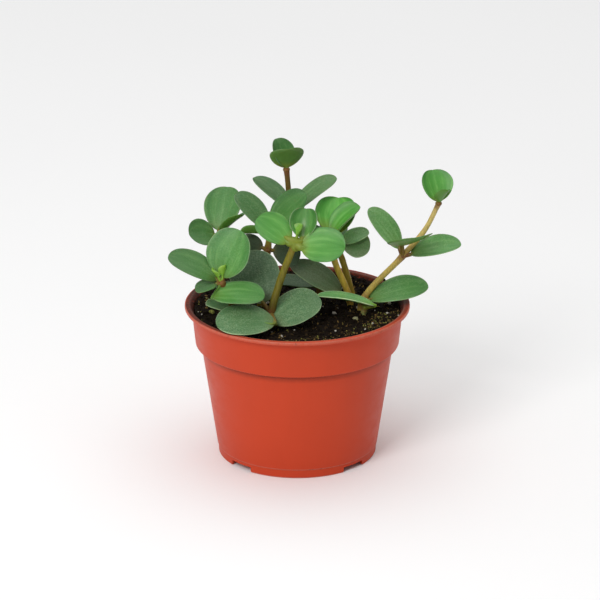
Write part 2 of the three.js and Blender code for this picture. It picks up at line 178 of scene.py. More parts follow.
def leaf(heading, rise, roll, length, width, **more):
    """One leaf: the way it points and climbs and rolls in degrees, its size in millimetres.

    cup: how far the sides stand up. arch: how far it bends down. stalk, toward, climb: its
    stalk's length and way. petiole: the stalk's radius. fresh: 2 a bud's yellow green, 1 bright
    and young, 0 old and grey. tone: lighter or darker; on several leaves this is painted light and
    painted shade for how the light falls on them. rim: how pale its margin is, on one leaf a
    painted
    highlight. brown: how far it has turned brown. fold: how pale a streak runs up its middle. red:
    how red its stalk is. heel, flesh: how much the blade's base, and the stalk, have the stalk's
    own
    colour. heel_reach: the share of the blade's length that may have it.
    """
    spec = {"cup": 0.2, "arch": 20, "stalk": 2.5, "petiole": STALK_RADIUS}
    spec.update(fresh=1.0, tone=0.0, rim=0.15, brown=0.0, fold=0.0, red=0.7, heel=0.2, flesh=1.0)
    spec.update(heel_reach=0.22)
    spec.update(heading=heading, rise=rise, roll=roll, length=length, width=width)
    spec.update(more)
    spec.setdefault("toward", heading)
    spec.setdefault("climb", rise + spec["arch"] / 2)
    return spec


# Each whorl: its stem, the point of that stem's path it grows at, its slot, and its leaves.
WHORLS = {
    "centre_top": ("centre", 3, "leaf_young", [
        leaf(160, 32, 30, 19, 17, toward=200, climb=15, stalk=3, petiole=2.0, red=-0.1, tone=0.05,
             heel=0.95),
        leaf(80, 52, 0, 15, 13.5, cup=0.5, toward=15, climb=30, stalk=4.5, petiole=1.3,
             fresh=0.85, tone=-0.3, rim=0.9, red=0.1, fold=0.65),
        leaf(350, 2, -45, 21, 19, toward=320, climb=-15, stalk=4, petiole=2.0, red=-0.1, tone=0.05,
             heel=0.95),
        leaf(30, 60, 0, 6, 6, cup=0.6, stalk=4, petiole=0.8, fresh=1.5, tone=0.1, red=0),
    ]),
    "centre_foot": ("centre", 1, "leaf_mature", [
        leaf(190, 1.5, 22, 28, 22, cup=0.1, toward=280, climb=-2, stalk=11, fresh=0.1, tone=0.4,
             rim=0.9),
        leaf(28, 22, -25, 26, 20.5, cup=0.1, toward=285, climb=-30, stalk=6.5, fresh=0.08,
             tone=0.35, rim=0.8),
        leaf(117, 43, 15, 28, 25, toward=150, climb=45, stalk=6, fresh=0.0, tone=-0.3, rim=1.4),
    ]),
    "left_front": ("left_front", 3, "leaf_young", [
        leaf(173, 25, 25, 25.85, 16, fresh=0.6, tone=-0.4),
        leaf(37, 65, -25, 24, 23, cup=0.2, fresh=0.6, tone=0.2, rim=0.6),
        leaf(352, 2, -25, 25, 16, toward=222, climb=-42, stalk=8, fresh=0.75, tone=0.0, rim=0.4,
             petiole=0.65, flesh=0.1),
        leaf(195, -16, 10, 10.5, 11, fresh=0.3, tone=0.2),
        leaf(215, 50, 10, 5.5, 5, cup=0.4, stalk=4, petiole=0.7, fresh=1.8, tone=0.2, red=0),
        leaf(330, 74, 10, 5.5, 5, cup=0.4, stalk=4, petiole=0.7, fresh=1.9, tone=0.25, red=0),
    ]),
    "left_foot": ("left_front", 1, "leaf_mature", [
        leaf(200, 22, 15, 14, 10, fresh=0.2, tone=0.7, rim=0.8),
        leaf(110, 32, 0, 17, 14, fresh=0.2, tone=-0.2),
    ]),
    "left_back": ("left_back", 3, "leaf_young", [
        leaf(75, 50, 0, 23, 18.5, cup=0.25, fresh=0.55, tone=0.0, rim=0.4, petiole=1.4),
        leaf(215, 12, 45, 15, 15, fresh=0.55, tone=-0.4),
        leaf(338, 42, 8, 16, 13, cup=0.3, fresh=0.5, tone=0.2),
    ]),
    "middle_top": ("middle", 3, "leaf_mature", [
        leaf(165, 45, 20, 22.5, 15, fresh=0.3, tone=0.0, rim=0.3),
        leaf(357, 48, -45, 24, 16.5, fresh=0.7, tone=-0.35),
        leaf(190, 4, -45, 12, 9, fresh=0.4, tone=0.1),
        leaf(95, 4, 0, 17, 12, fresh=0.3, tone=-0.2),
    ]),
    # Painted shade: both leaves are darkened by their tone for the shade they hang in.
    "middle_low": ("middle", 2, "leaf_mature", [
        leaf(8, -22, -52, 14, 14, fresh=0.2, tone=-1.15, brown=0.2),
        leaf(170, 6, 42, 12.5, 11, fresh=0.2, tone=-1.1, brown=0.3),
    ]),
    "tall_middle": ("tall", 4, "leaf_mature", [
        leaf(150, 33, 0, 23.5, 14.5, fresh=0.3, tone=-0.15, rim=0.35),
        leaf(15, 35, -10, 25, 14.5, fresh=0.35, tone=0.2, brown=0.1),
        leaf(85, 10, 0, 18, 13, fresh=0.3, tone=-0.2),
    ]),
    "tall_top": ("tall", 5, "leaf_young", [
        leaf(285, 66, 0, 12, 17, cup=0.25, stalk=1, fresh=0.9, tone=-0.35, heel=0.8,
             heel_reach=0.35, red=0.2, brown=0.15),
        leaf(130, 62, 0, 14.8, 13, cup=0.3, stalk=1, fresh=0.6, tone=-0.3),
    ]),
    "tall_foot": ("tall", 1, "leaf_mature", [leaf(185, 8, 10, 22, 12, fresh=0.1, tone=-0.2)]),
    "right_front": ("right_front", 3, "leaf_young", [
        # Painted light: the first leaf's tone lightens its face, which is turned from the light.
        leaf(82, 48, 0, 19.5, 20, cup=0.5, toward=40, climb=25, stalk=3.5, petiole=1.7, red=0.1,
             tone=0.9, heel=1.0, heel_reach=0.42),
        leaf(14, 44, -10, 19, 15, cup=0.5, tone=0.3, heel=0.6),
        leaf(170, 15, 10, 13, 11, fresh=0.6, tone=-0.2),
    ]),
    "right_back": ("right_back", 3, "leaf_mature", [
        leaf(0, -5, -40, 13.5, 15.5, fresh=0.2, tone=1.1, brown=0.3, rim=0.6),
        leaf(12, 20, -30, 14.5, 9, fresh=0.3, tone=1.1, brown=0.1, rim=0.6),
        leaf(100, 25, 0, 18, 14, fresh=0.3, tone=-0.2),
    ]),
    "right_front_foot": ("right_front", 1, "leaf_mature", [
        leaf(171, 29, 20, 28.5, 17, toward=180, climb=20, stalk=4, fresh=0.1, tone=0.05, rim=0.9,
             brown=0.3),
    ]),
    # Painted light: its tone and pale rim light its upper face and its margin from above.
    "right_foot": ("right_foot", 2, "leaf_young", [
        leaf(176, 9, -6, 28, 14, toward=340, climb=15, stalk=5, fresh=0.4, tone=1.5, rim=1.6,
             red=0.1),
    ]),
    "right_middle": ("right", 2, "leaf_mature", [
        leaf(163, 50, 35, 24.5, 12, toward=140, climb=60, stalk=4, fresh=0.35, tone=1.1, rim=0.4,
             brown=0.1, red=1.0),
        leaf(295, 29, -1, 19, 23.5, cup=0.1, arch=8, toward=260, climb=70, stalk=6.6, fresh=0.7,
             tone=-0.1, heel=0.9, heel_reach=0.3, red=0.7),
        leaf(0, 12, -18, 25, 16, toward=350, climb=15, stalk=4, fresh=0.5, tone=0.5, rim=0.5,
             red=0.9),
    ]),
    "right_low": ("right", 1, "leaf_mature", [
        leaf(5, 12, -25, 29, 16.5, toward=350, climb=12, stalk=3.5, fresh=0.45, tone=0.4,
             rim=0.5),
    ]),
    "right_top": ("right", 4, "leaf_young", [
        leaf(108, 57, 0, 16, 16, cup=0.4, stalk=1, petiole=1.3, fresh=0.9, tone=0.4, red=0.3,
             heel=0.6),
        leaf(336, 55, 15, 8, 10, cup=0.4, stalk=1, fresh=1.0, tone=-0.15, rim=0.0, red=0.3,
             heel=0.5),
    ]),
}

# Half width, half depth and tilt of the fused leaf bases over a joint, in mm and as a slope.
SHEATHS = {"centre_top": (5.2, 2.6, -0.20)}

# Each ring of such a sheath: its height over the joint in mm, and its share of the half width
# and of the half depth. Then the heights of its closed ends.
SHEATH_LEVELS = [
    (-3.2, 0.30, 0.75), (-2.2, 0.38, 0.9), (-1.0, 0.50, 1.0), (0.3, 0.70, 1.05),
    (1.5, 0.90, 1.05), (2.4, 1.0, 0.9), (2.9, 0.97, 0.6), (3.0, 0.8, 0.3),
]
SHEATH_POLES = (-3.4, 2.8)

# How far a joint's collar stands out from the stem in mm, and how red it is.
PLAIN_COLLAR = (0.5, 0.85)
COLLARS = {"middle_top": (0.25, 0.15), "left_back": (0.4, 0.4), "right_foot": (0.4, 0.0)}

# Single stones and crumbs on the soil and the lip: x, y, height over the soil, width, length
# and kind, which runs from 0 peat over 0.5 bark and 0.7 moss to 1 perlite.
STONES = [
    (27.9, -11.9, 0.8, 1.9, 2.9, 0.82),
    (18.1, -27.7, 0.4, 0.9, 1.1, 1.0),
    (32.0, -28.5, 0.4, 0.8, 1.0, 1.0),
    (43.0, -3.5, 0.4, 1.1, 1.4, 1.0),
    (-44.6, 17.0, 1.0, 1.2, 3.0, 0.50),
    (-43.8, 13.0, 1.1, 1.2, 2.6, 0.80),
    (-43.3, 4.1, 0.9, 1.9, 2.6, 0.84),
    (-41.5, 9.5, 0.8, 1.3, 1.9, 0.45),
    (-40.9, -3.6, 0.8, 2.2, 2.8, 0.70),
    (-36.5, 9.0, 0.6, 1.4, 2.1, 0.50),
    (42.4, 31.0, 3.4, 1.3, 2.4, 0.10),
    (39.8, 33.4, 3.3, 0.9, 1.7, 0.15),
]

# ------------------------------------------------------------------ sizes and colours to change


def colour(name, text, value):
    return bpy.props.FloatVectorProperty(
        name=name, description=text, default=value, size=3, min=0, max=1, subtype="COLOR")


def length(name, text, value_mm):
    return bpy.props.FloatProperty(
        name=name, description=text, default=value_mm * MM, min=0, precision=5, unit="LENGTH")


def amount(name, text, value, most):
    return bpy.props.FloatProperty(
        name=name, description=text, default=value, min=0, max=most, subtype="FACTOR")


class PotLooks(bpy.types.PropertyGroup):
    plastic: colour("Plastic", "Colour of the moulded plastic", (0.56, 0.054, 0.0155))
    # The pale colour is also the lip's top, partly wear and partly a painted highlight.
    pale: colour("Worn edge", "Colour of the lip and of rubbed edges", (0.52, 0.20, 0.14))
    # The dirt colour is also the painted shade inside the pot, round the lip and under the band.
    dirt_and_shade: colour("Dirt", "Colour of the soil that clings to the wall", (0.030, 0.012, 0.007))
    roughness: amount("Roughness", "How dull the plastic is", 0.42, 1)
    waviness: length("Waviness", "How far the thin wall strays from round", 0.12)
    corner: length("Corner", "Rounding of the moulding's edges", 0.4)


class SoilLooks(bpy.types.PropertyGroup):
    peat: colour("Peat", "Colour of the dark crumbs", (0.0060, 0.0036, 0.0020))
    bark: colour("Bark", "Colour of the ochre bits and fibres", (0.17, 0.105, 0.035))
    perlite: colour("Perlite", "Colour of the white grains", (0.62, 0.58, 0.50))
    moss: colour("Moss", "Colour of the green specks", (0.19, 0.19, 0.045))
    crumb: length("Crumb", "Size of a usual crumb", 1.25)
    crumbs: bpy.props.IntProperty(
        name="Crumbs", description="How many crumbs to a square centimetre", default=55, min=0)
    seed: bpy.props.IntProperty(name="Seed", description="Where the grains fall", default=4)


class StemLooks(bpy.types.PropertyGroup):
    joint: colour("Joint", "Colour round each joint", (0.17, 0.055, 0.016))
    swelling: amount("Swelling", "How much thicker a joint is", 0.22, 1)
    roughness: amount("Roughness", "How dull the stems are", 0.42, 1)


class LeafLooks(bpy.types.PropertyGroup):
    bud: colour("Bud", "Colour of a leaf that has just opened", (0.25, 0.46, 0.045))
    young: colour("Young", "Colour of a bright young leaf", (0.068, 0.275, 0.033))
    young_vein: colour("Young vein", "Colour of the bands along its veins", (0.165, 0.42, 0.090))
    # The heart colour is partly a painted sheen near the base.
    heart: colour("Heart", "Colour near the base of a young leaf", (0.19, 0.40, 0.055))
    deep: colour("Deep", "Colour towards the margin of a young leaf", (0.032, 0.168, 0.024))
    old: colour("Old", "Colour of a dull old leaf", (0.055, 0.125, 0.048))
    old_vein: colour("Old vein", "Colour of its bands and its bloom", (0.20, 0.30, 0.16))
    brown: colour("Brown", "Colour that a fading leaf turns to", (0.105, 0.088, 0.050))
    under: colour("Underside", "Colour of the underside", (0.095, 0.245, 0.030))
    edge: colour("Edge", "Colour of the pale edge", (0.38, 0.52, 0.28))
    green_stalk: colour("Green stalk", "Colour of a fleshy green stalk", (0.20, 0.25, 0.022))
    red_stalk: colour("Red stalk", "Colour of a red stalk and of the joints", (0.20, 0.062, 0.018))
    groove: length("Groove", "Depth of the grooves over the veins", 0.13)


class StageLooks(bpy.types.PropertyGroup):
    floor: colour("Floor", "Colour of the floor", (0.98, 0.98, 0.98))
    key: bpy.props.FloatProperty(
        name="Key light", description="Power of the large light at the left", default=10,
        min=0, unit="POWER")
    top: bpy.props.FloatProperty(
        name="Top light", description="Power of the light overhead", default=52,
        min=0, unit="POWER")
    sky: amount("Sky", "Strength of the even light from all round", 0.26, 10)


class PeperomiaLooks(bpy.types.PropertyGroup):
    pot: bpy.props.PointerProperty(type=PotLooks, name="Pot", description="The pot")
    soil: bpy.props.PointerProperty(type=SoilLooks, name="Soil", description="The soil")
    stems: bpy.props.PointerProperty(type=StemLooks, name="Stems", description="The stems")
    leaves: bpy.props.PointerProperty(type=LeafLooks, name="Leaves", description="The leaves")
    stage: bpy.props.PointerProperty(type=StageLooks, name="Stage", description="The stage")


# ------------------------------------------------------------------ closed skins


def rows_of_faces(rows, sides):
    """Faces of a skin over rows of equally many points, with a pole before and after them."""
    last = rows * sides + 1
    faces = []
    for row in range(rows - 1):
        for side in range(sides):
            near = 1 + row * sides
            after = (side + 1) % sides
            faces.append((near + side, near + after, near + sides + after, near + sides + side))
    for side in range(sides):
        after = (side + 1) % sides
        faces.append((0, 1 + after, 1 + side))
        faces.append((last, last - sides + side, last - sides + after))
    return faces


def turns_round(count):
    return [math.tau * side / count for side in range(count)]


def linked(name, data):
    """A new object with that data, in the scene."""
    made = bpy.data.objects.new(name, data)
    bpy.context.collection.objects.link(made)
    return made


class Skin:
    """Points in millimetres, faces, loose edges and named values, gathered for one piece."""

    def __init__(self, *names):
        self.points = []
        self.faces = []
        self.edges = []
        self.values = {name: [] for name in names}

    def add(self, points, faces=(), edges=(), **values):
        first = len(self.points)
        self.points.extend(points)
        self.faces.extend(tuple(first + corner for corner in face) for face in faces)
        self.edges.extend(tuple(first + end for end in edge) for edge in edges)
        for name, kept in self.values.items():
            kept.extend(np.broadcast_to(values.get(name, 0.0), len(points)))

    def add_rows(self, start, rows, end, start_values, row_values, end_values):
        """A closed skin from a pole over rows of points to another pole."""
        count, sides = rows.shape[:2]
        points = [start, *rows.reshape(-1, 3), end]
        values = {}
        for name, inner in row_values.items():
            inner = np.broadcast_to(inner, (count, sides)).ravel()
            values[name] = [start_values.get(name, 0), *inner, end_values.get(name, 0)]
        self.add(points, rows_of_faces(count, sides), **values)

    def add_lump(self, start, rows, end, values):
        """A closed skin that has the same values all over."""
        self.add_rows(start, np.array(rows), end, values, values, values)

    def piece(self, name):
        mesh = bpy.data.meshes.new(name)
        points = [AXIS + Vector(point) * MM for point in self.points]
        mesh.from_pydata(points, self.edges, self.faces)
        for key, kept in self.values.items():
            layer = mesh.attributes.new(key, "FLOAT", "POINT")
            layer.data.foreach_set("value", np.array(kept, np.float32))
        piece = linked(name, mesh)
        if self.faces:
            outward(mesh)
        return piece


def outward(mesh):
    """Every face of each closed skin in the mesh points out, and is shaded smooth."""
    work = bmesh.new()
    work.from_mesh(mesh)
    bmesh.ops.recalc_face_normals(work, faces=work.faces)
    for face in work.faces:
        face.smooth = True
    work.to_mesh(mesh)
    work.free()


def applied(piece):
    """The piece with its modifiers made part of its mesh."""
    graph = bpy.context.evaluated_depsgraph_get()
    made = bpy.data.meshes.new_from_object(
        piece.evaluated_get(graph), preserve_all_data_layers=True, depsgraph=graph)
    piece.modifiers.clear()
    old = piece.data
    piece.data = made
    bpy.data.meshes.remove(old)
    made.name = piece.name
    return piece


def settled(piece, slot, *nodes):
    """The finished piece rides on the body and stands for its CAD nodes."""
    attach(piece, BODY)
    if nodes:
        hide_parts(*nodes)
    return piece


# ------------------------------------------------------------------ node trees


def wire(group, source, target):
    """Links a socket, or sets a plain value."""
    if isinstance(source, bpy.types.NodeSocket):
        group.links.new(source, target)
    else:
        target.default_value = source


class Writer:
    """Writes a node group one node at a time."""

    def node(self, kind, inputs=None, **settings):
        made = self.group.nodes.new(kind)
        for key, value in settings.items():
            setattr(made, key, value)
        for key, value in (inputs or {}).items():
            wire(self.group, value, made.inputs[key])
        return made

    def first(self, kind, inputs=None, **settings):
        """The first output of a new node."""
        return self.node(kind, inputs, **settings).outputs[0]

    def math(self, operation, *values, clamp=False):
        made = self.node("ShaderNodeMath", operation=operation, use_clamp=clamp)
        for place, value in enumerate(values):
            wire(self.group, value, made.inputs[place])
        return made.outputs[0]

    def times(self, first, second):
        return self.math("MULTIPLY", first, second)


class Tree(Writer):
    """A geometry node tree."""

    def __init__(self, name):
        self.group = bpy.data.node_groups.new(name, "GeometryNodeTree")
        self.inputs = {}
        self.enter = None
        self.add_input("Geometry", "NodeSocketGeometry")
        self.group.interface.new_socket(
            "Geometry", in_out="OUTPUT", socket_type="NodeSocketGeometry")

    def add_input(self, name, kind, default=None):
        socket = self.group.interface.new_socket(name, in_out="INPUT", socket_type=kind)
        if default is not None:
            socket.default_value = default
        self.inputs[name] = socket.identifier

    def entry(self, name):
        if self.enter is None:
            self.enter = self.group.nodes.new("NodeGroupInput")
        return self.enter.outputs[name]

    def value(self, name):
        """A named value that the mesh carries."""
        made = self.node(
            "GeometryNodeInputNamedAttribute", {"Name": name}, data_type="FLOAT")
        return made.outputs["Attribute"]

    def between(self, low, high, seed):
        """A random number for each element."""
        made = self.node("FunctionNodeRandomValue", {"Seed": seed}, data_type="FLOAT")
        floats = [socket for socket in made.inputs if socket.type == "VALUE"]
        wire(self.group, low, floats[0])
        wire(self.group, high, floats[1])
        return next(socket for socket in made.outputs if socket.type == "VALUE")

    def turn(self, seed):
        """A random rotation for each element."""
        made = self.node("FunctionNodeRandomValue", {"Seed": seed}, data_type="FLOAT_VECTOR")
        made.inputs[0].default_value = (0, 0, 0)
        made.inputs[1].default_value = (math.tau, math.tau, math.tau)
        return made.outputs[0]

    def kept_value(self, geometry, name, value, domain):
        made = self.node(
            "GeometryNodeStoreNamedAttribute", {"Geometry": geometry, "Name": name},
            data_type="FLOAT", domain=domain)
        wire(self.group, value, next(s for s in made.inputs if s.name == "Value" and s.enabled))
        return made.outputs["Geometry"]

    def leave(self, geometry, material):
        """Ends the tree: instances made real, and the material set."""
        real = self.node("GeometryNodeRealizeInstances", {"Geometry": geometry})
        skinned = self.node(
            "GeometryNodeSetMaterial", {"Geometry": real.outputs[0], "Material": material})
        end = self.node("NodeGroupOutput")
        wire(self.group, skinned.outputs[0], end.inputs[0])

    def use_on(self, piece, **values):
        modifier = piece.modifiers.new(self.group.name, "NODES")
        modifier.node_group = self.group
        for name, value in values.items():
            modifier[self.inputs[name.replace("_", " ").capitalize()]] = value
        return applied(piece)


class Paint(Writer):
    """A procedural material."""

    def __init__(self, name, **shader):
        self.material = bpy.data.materials.new(name)
        self.material.use_nodes = True
        self.group = self.material.node_tree
        self.shader = self.group.nodes["Principled BSDF"]
        for key, value in shader.items():
            title = key.replace("_", " ").title().replace("Ior", "IOR")
            self.shader.inputs[title].default_value = value
        self.place = self.node("ShaderNodeTexCoord").outputs["Object"]

    def value(self, name):
        """A named value that the mesh carries."""
        return self.node("ShaderNodeAttribute", attribute_name=name).outputs["Fac"]

    def tint(self, name):
        """A named colour that the mesh carries."""
        return self.node("ShaderNodeAttribute", attribute_name=name).outputs["Color"]

    def blend(self, share, low, high, kind="MIX"):
        made = self.node("ShaderNodeMix", data_type="RGBA", blend_type=kind, clamp_factor=True)
        wire(self.group, share, made.inputs["Factor"])
        for end, value in (("A", low), ("B", high)):
            socket = next(s for s in made.inputs if s.name == end and s.type == "RGBA")
            if isinstance(value, bpy.types.NodeSocket):
                self.group.links.new(value, socket)
            else:
                socket.default_value = (*value, 1)
        return next(s for s in made.outputs if s.type == "RGBA")

    def spread(self, value, low, high, to_low=0.0, to_high=1.0):
        """A value between low and high, stretched smoothly to a new range."""
        return self.first(
            "ShaderNodeMapRange",
            {"Value": value, "From Min": low, "From Max": high, "To Min": to_low,
             "To Max": to_high},
            interpolation_type="SMOOTHSTEP")

    def grain(self, size_mm, detail=3.0, rough=0.5, stretch=None, where=None):
        """Noise whose lumps are about size_mm across, stretched along an axis if asked."""
        place = where or self.place
        if stretch:
            place = self.first("ShaderNodeMapping", {"Vector": place, "Scale": stretch})
        return self.first(
            "ShaderNodeTexNoise",
            {"Vector": place, "Scale": 1 / (size_mm * MM), "Detail": detail, "Roughness": rough})

    def raised(self, height, depth_mm, below=None):
        """Bump of that depth, on top of the bump below it."""
        made = self.node("ShaderNodeBump", {"Height": height, "Distance": depth_mm * MM})
        if below is not None:
            wire(self.group, below, made.inputs["Normal"])
        return made.outputs[0]

    def finish(self, **sockets):
        names = {"colour": "Base Color", "roughness": "Roughness", "normal": "Normal"}
        for key, source in sockets.items():
            wire(self.group, source, self.shader.inputs[names[key]])
        return self.material


# ------------------------------------------------------------------ finishes


def pot_plastic(looks):
    """Thin moulded plastic, nearly even: faint flow streaks, rubbed edges with a painted highlight
    on the lip, soil dust, and painted shade with soil stain inside the pot and under the band.
    """
    paint = Paint("terracotta_plastic", specular_ior_level=0.20)
    streaks = paint.grain(9, detail=2, stretch=(1, 1, 0.12))
    clouds = paint.grain(28, detail=1)
    rub = paint.grain(1.3, detail=4, rough=0.7)
    darker = [c * 0.93 for c in looks.plastic]
    lighter = [c * 1.10 for c in looks.plastic]
    base = paint.blend(paint.spread(streaks, 0.35, 0.7, 0, 0.4), looks.plastic, darker)
    base = paint.blend(paint.spread(clouds, 0.3, 0.75, 0, 0.35), base, lighter)
    # Pale rubbed edges; on the lip's top this pale colour is a painted highlight as well as wear.
    rub_and_highlight = paint.times(paint.value("edge"), paint.spread(rub, 0.3, 0.65, 0.45, 1))
    base = paint.blend(rub_and_highlight, base, looks.pale)
    specks = paint.spread(paint.grain(1.7, detail=4, rough=0.65), 0.60, 0.68, 0, 0.75)
    base = paint.blend(paint.times(paint.value("edge"), specks), base, looks.dirt_and_shade)
    # Painted shade, with soil stain: the inside of the pot below the lip, the lip's inner face at
    # the back, right and left, and the fold under the band.
    stain_and_shade_patches = paint.spread(rub, 0.25, 0.6, 0.55, 1)
    base = paint.blend(paint.times(paint.value("stain_and_shade"), stain_and_shade_patches), base, looks.dirt_and_shade)
    scuffs = paint.grain(14, detail=5, rough=0.75, stretch=(1, 1, 2.2))
    dull = paint.spread(scuffs, 0.35, 0.7, looks.roughness - 0.05, looks.roughness + 0.09)
    bump = paint.raised(paint.grain(0.35, detail=2), 0.012)
    bump = paint.raised(paint.grain(16, detail=1, stretch=(1, 1, 0.35)), 0.10, bump)
    return paint.finish(colour=base, roughness=dull, normal=bump)


def soil_matter(looks):
    """Damp peat, told from bark, moss and perlite by the hue that each grain carries."""
    paint = Paint("potting_soil", specular_ior_level=0.08)
    hue = paint.value("hue")
    shade = paint.grain(0.9, detail=4, rough=0.65)

    def mottled(matter, dark, light):
        low, high = [c * dark for c in matter], [c * light for c in matter]
        return paint.blend(paint.spread(shade, 0.3, 0.72), low, high)

    mix = mottled(looks.peat, 0.5, 2.6)
    mix = paint.blend(paint.spread(hue, 0.20, 0.45), mix, mottled(looks.bark, 0.45, 1.9))
    mix = paint.blend(paint.spread(hue, 0.55, 0.65), mix, mottled(looks.moss, 0.5, 1.6))
    mix = paint.blend(paint.spread(hue, 0.78, 0.90), mix, mottled(looks.perlite, 0.7, 1.0))
    bump = paint.raised(paint.grain(0.5, detail=4, rough=0.7), 0.14)
    dull = paint.spread(shade, 0.2, 0.8, 0.65, 0.95)
    return paint.finish(colour=mix, roughness=dull, normal=bump)


def stem_skin(looks):
    """Fleshy stem: golden, faintly streaked along its length, reddish round the joints."""
    paint = Paint(
        "stem_skin", specular_ior_level=0.3, subsurface_weight=0.12, subsurface_scale=0.002)
    streaks = paint.grain(0.9, detail=3, stretch=(1, 1, 0.12))
    base = paint.blend(
        paint.spread(streaks, 0.3, 0.7), paint.tint("skin"), (1.45, 1.4, 1.2), kind="MULTIPLY")
    blotch = paint.spread(paint.grain(2.2, detail=3), 0.35, 0.7, 0.5, 1)
    base = paint.blend(paint.times(paint.value("joint"), blotch), base, looks.joint)
    bump = paint.raised(streaks, 0.10)
    return paint.finish(colour=base, roughness=looks.roughness, normal=bump)


def leaf_skin(name, looks, coat):
    """Waxy leaf: feathery pale bands that fan from its base, a lighter heart near the base that is
    partly a painted sheen, and a mottled bloom on an old one.
    """
    paint = Paint(name, specular_ior_level=0.35, coat_weight=coat, coat_roughness=0.35,
                  subsurface_weight=0.10, subsurface_scale=0.0015)
    across = paint.value("across")
    along = paint.value("along")
    fresh = paint.value("fresh")
    off_middle = paint.math("ABSOLUTE", across)
    fan = paint.first(
        "ShaderNodeCombineXYZ",
        {"X": paint.times(across, 2.2), "Y": paint.times(along, 0.9),
         "Z": paint.times(paint.value("leaf"), 5.3)})

    def fanned(scale):
        return paint.first(
            "ShaderNodeTexNoise",
            {"Vector": fan, "Scale": scale, "Detail": 3.0, "Roughness": 0.6})

    broad = fanned(1.0)
    feather = fanned(4.0)
    place = paint.math("MULTIPLY_ADD", broad, 0.4, across)
    band = paint.math("COSINE", paint.math("MULTIPLY_ADD", place, math.tau * 2.3, -2.9))
    band = paint.times(paint.spread(band, 0.0, 1.0),
                      paint.spread(feather, 0.38, 0.62, 0.1, 0.75))
    band = paint.times(band, paint.spread(along, 0.3, 0.9, 1, 0.25))
    band = paint.math("ADD", band, paint.spread(broad, 0.42, 0.66, 0, 0.45), clamp=True)
    # Lighter near the base: the young leaf's yellow-green heart, and partly a painted sheen.
    near_base = paint.times(paint.spread(along, 0.05, 0.5, 1, 0),
                           paint.spread(off_middle, 0.2, 0.9, 1, 0.2))
    outer = paint.math("ADD", paint.spread(off_middle, 0.5, 1.0, 0, 0.7),
                       paint.spread(along, 0.55, 1.0, 0, 0.4), clamp=True)
    young = paint.blend(outer, looks.young, looks.deep)
    young = paint.blend(paint.times(near_base, 0.40), young, looks.heart)
    young = paint.blend(paint.times(band, 0.66), young, looks.young_vein)
    bloom = paint.grain(0.7, detail=5, rough=0.75)
    cloud = paint.grain(5.5, detail=3, rough=0.6)
    grey = paint.times(paint.spread(bloom, 0.44, 0.60),
                      paint.spread(cloud, 0.3, 0.65, 0.35, 1.0))
    grey = paint.math("ADD", paint.times(band, 0.18),
                      paint.times(grey, 0.62), clamp=True)
    old = paint.blend(grey, looks.old, looks.old_vein)
    top = paint.blend(fresh, old, young)
    lower = paint.blend(paint.times(band, 0.22), looks.under, looks.young_vein)
    face = paint.blend(paint.value("upper"), lower, top)
    opened = paint.math("SUBTRACT", fresh, 1.0, clamp=True)
    face = paint.blend(opened, face, looks.bud)
    fold = paint.times(paint.value("fold"), paint.spread(off_middle, 0.04, 0.24, 0.8, 0))
    fold = paint.times(fold, paint.spread(along, 0.4, 0.75, 1, 0))
    face = paint.blend(fold, face, looks.edge)
    blush = paint.times(paint.value("brown"), paint.spread(cloud, 0.3, 0.6, 0.6, 1.3))
    face = paint.blend(blush, face, looks.brown)
    pale = paint.times(paint.value("edge"), paint.value("rim"))
    pale = paint.times(pale, paint.spread(cloud, 0.3, 0.65, 0.4, 1.0))
    face = paint.blend(pale, face, looks.edge)
    # Each leaf's tone; on several leaves it is painted light and painted shade for how the light
    # falls on them.
    tone = paint.math("MULTIPLY_ADD", paint.value("tone"), 0.55, 1.0)
    face = paint.first("ShaderNodeHueSaturation", {"Color": face, "Value": tone})
    flesh = paint.spread(bloom, 0.42, 0.62, -0.15, 0.15)
    flesh = paint.math("ADD", paint.value("red"), flesh, clamp=True)
    flesh = paint.blend(flesh, looks.green_stalk, looks.red_stalk)
    flesh = paint.blend(opened, flesh, looks.bud)
    face = paint.blend(paint.value("stalk"), face, flesh)
    dull = paint.math("MULTIPLY_ADD", fresh, -0.08, 0.50)
    dull = paint.math("ADD", dull, paint.math("MULTIPLY_ADD", bloom, 0.16, -0.08))
    bump = paint.raised(bloom, 0.05)
    bump = paint.raised(cloud, 0.22, bump)
    return paint.finish(colour=face, roughness=dull, normal=bump)


def floor_finish(looks):
    paint = Paint("floor_finish")
    tone = paint.spread(paint.grain(400, detail=1), 0.3, 0.7)
    base = paint.blend(tone, looks.floor, [c * 0.99 for c in looks.floor])
    return paint.finish(colour=base, roughness=0.9)


# ------------------------------------------------------------------ pot


def pot_inner_radius(z):
    if z > BAND_LOW_Z:
        share = (z - BAND_LOW_Z) / (POT_HEIGHT - LIP_DEPTH - BAND_LOW_Z)
        return BAND_LOW_RADIUS + (BAND_TOP_RADIUS - BAND_LOW_RADIUS) * share - WALL
    share = (z - FOOT_LINE_Z) / (BAND_LOW_Z - FOOT_LINE_Z)
    return WALL_LOW_RADIUS + (WALL_TOP_RADIUS - WALL_LOW_RADIUS) * share - WALL


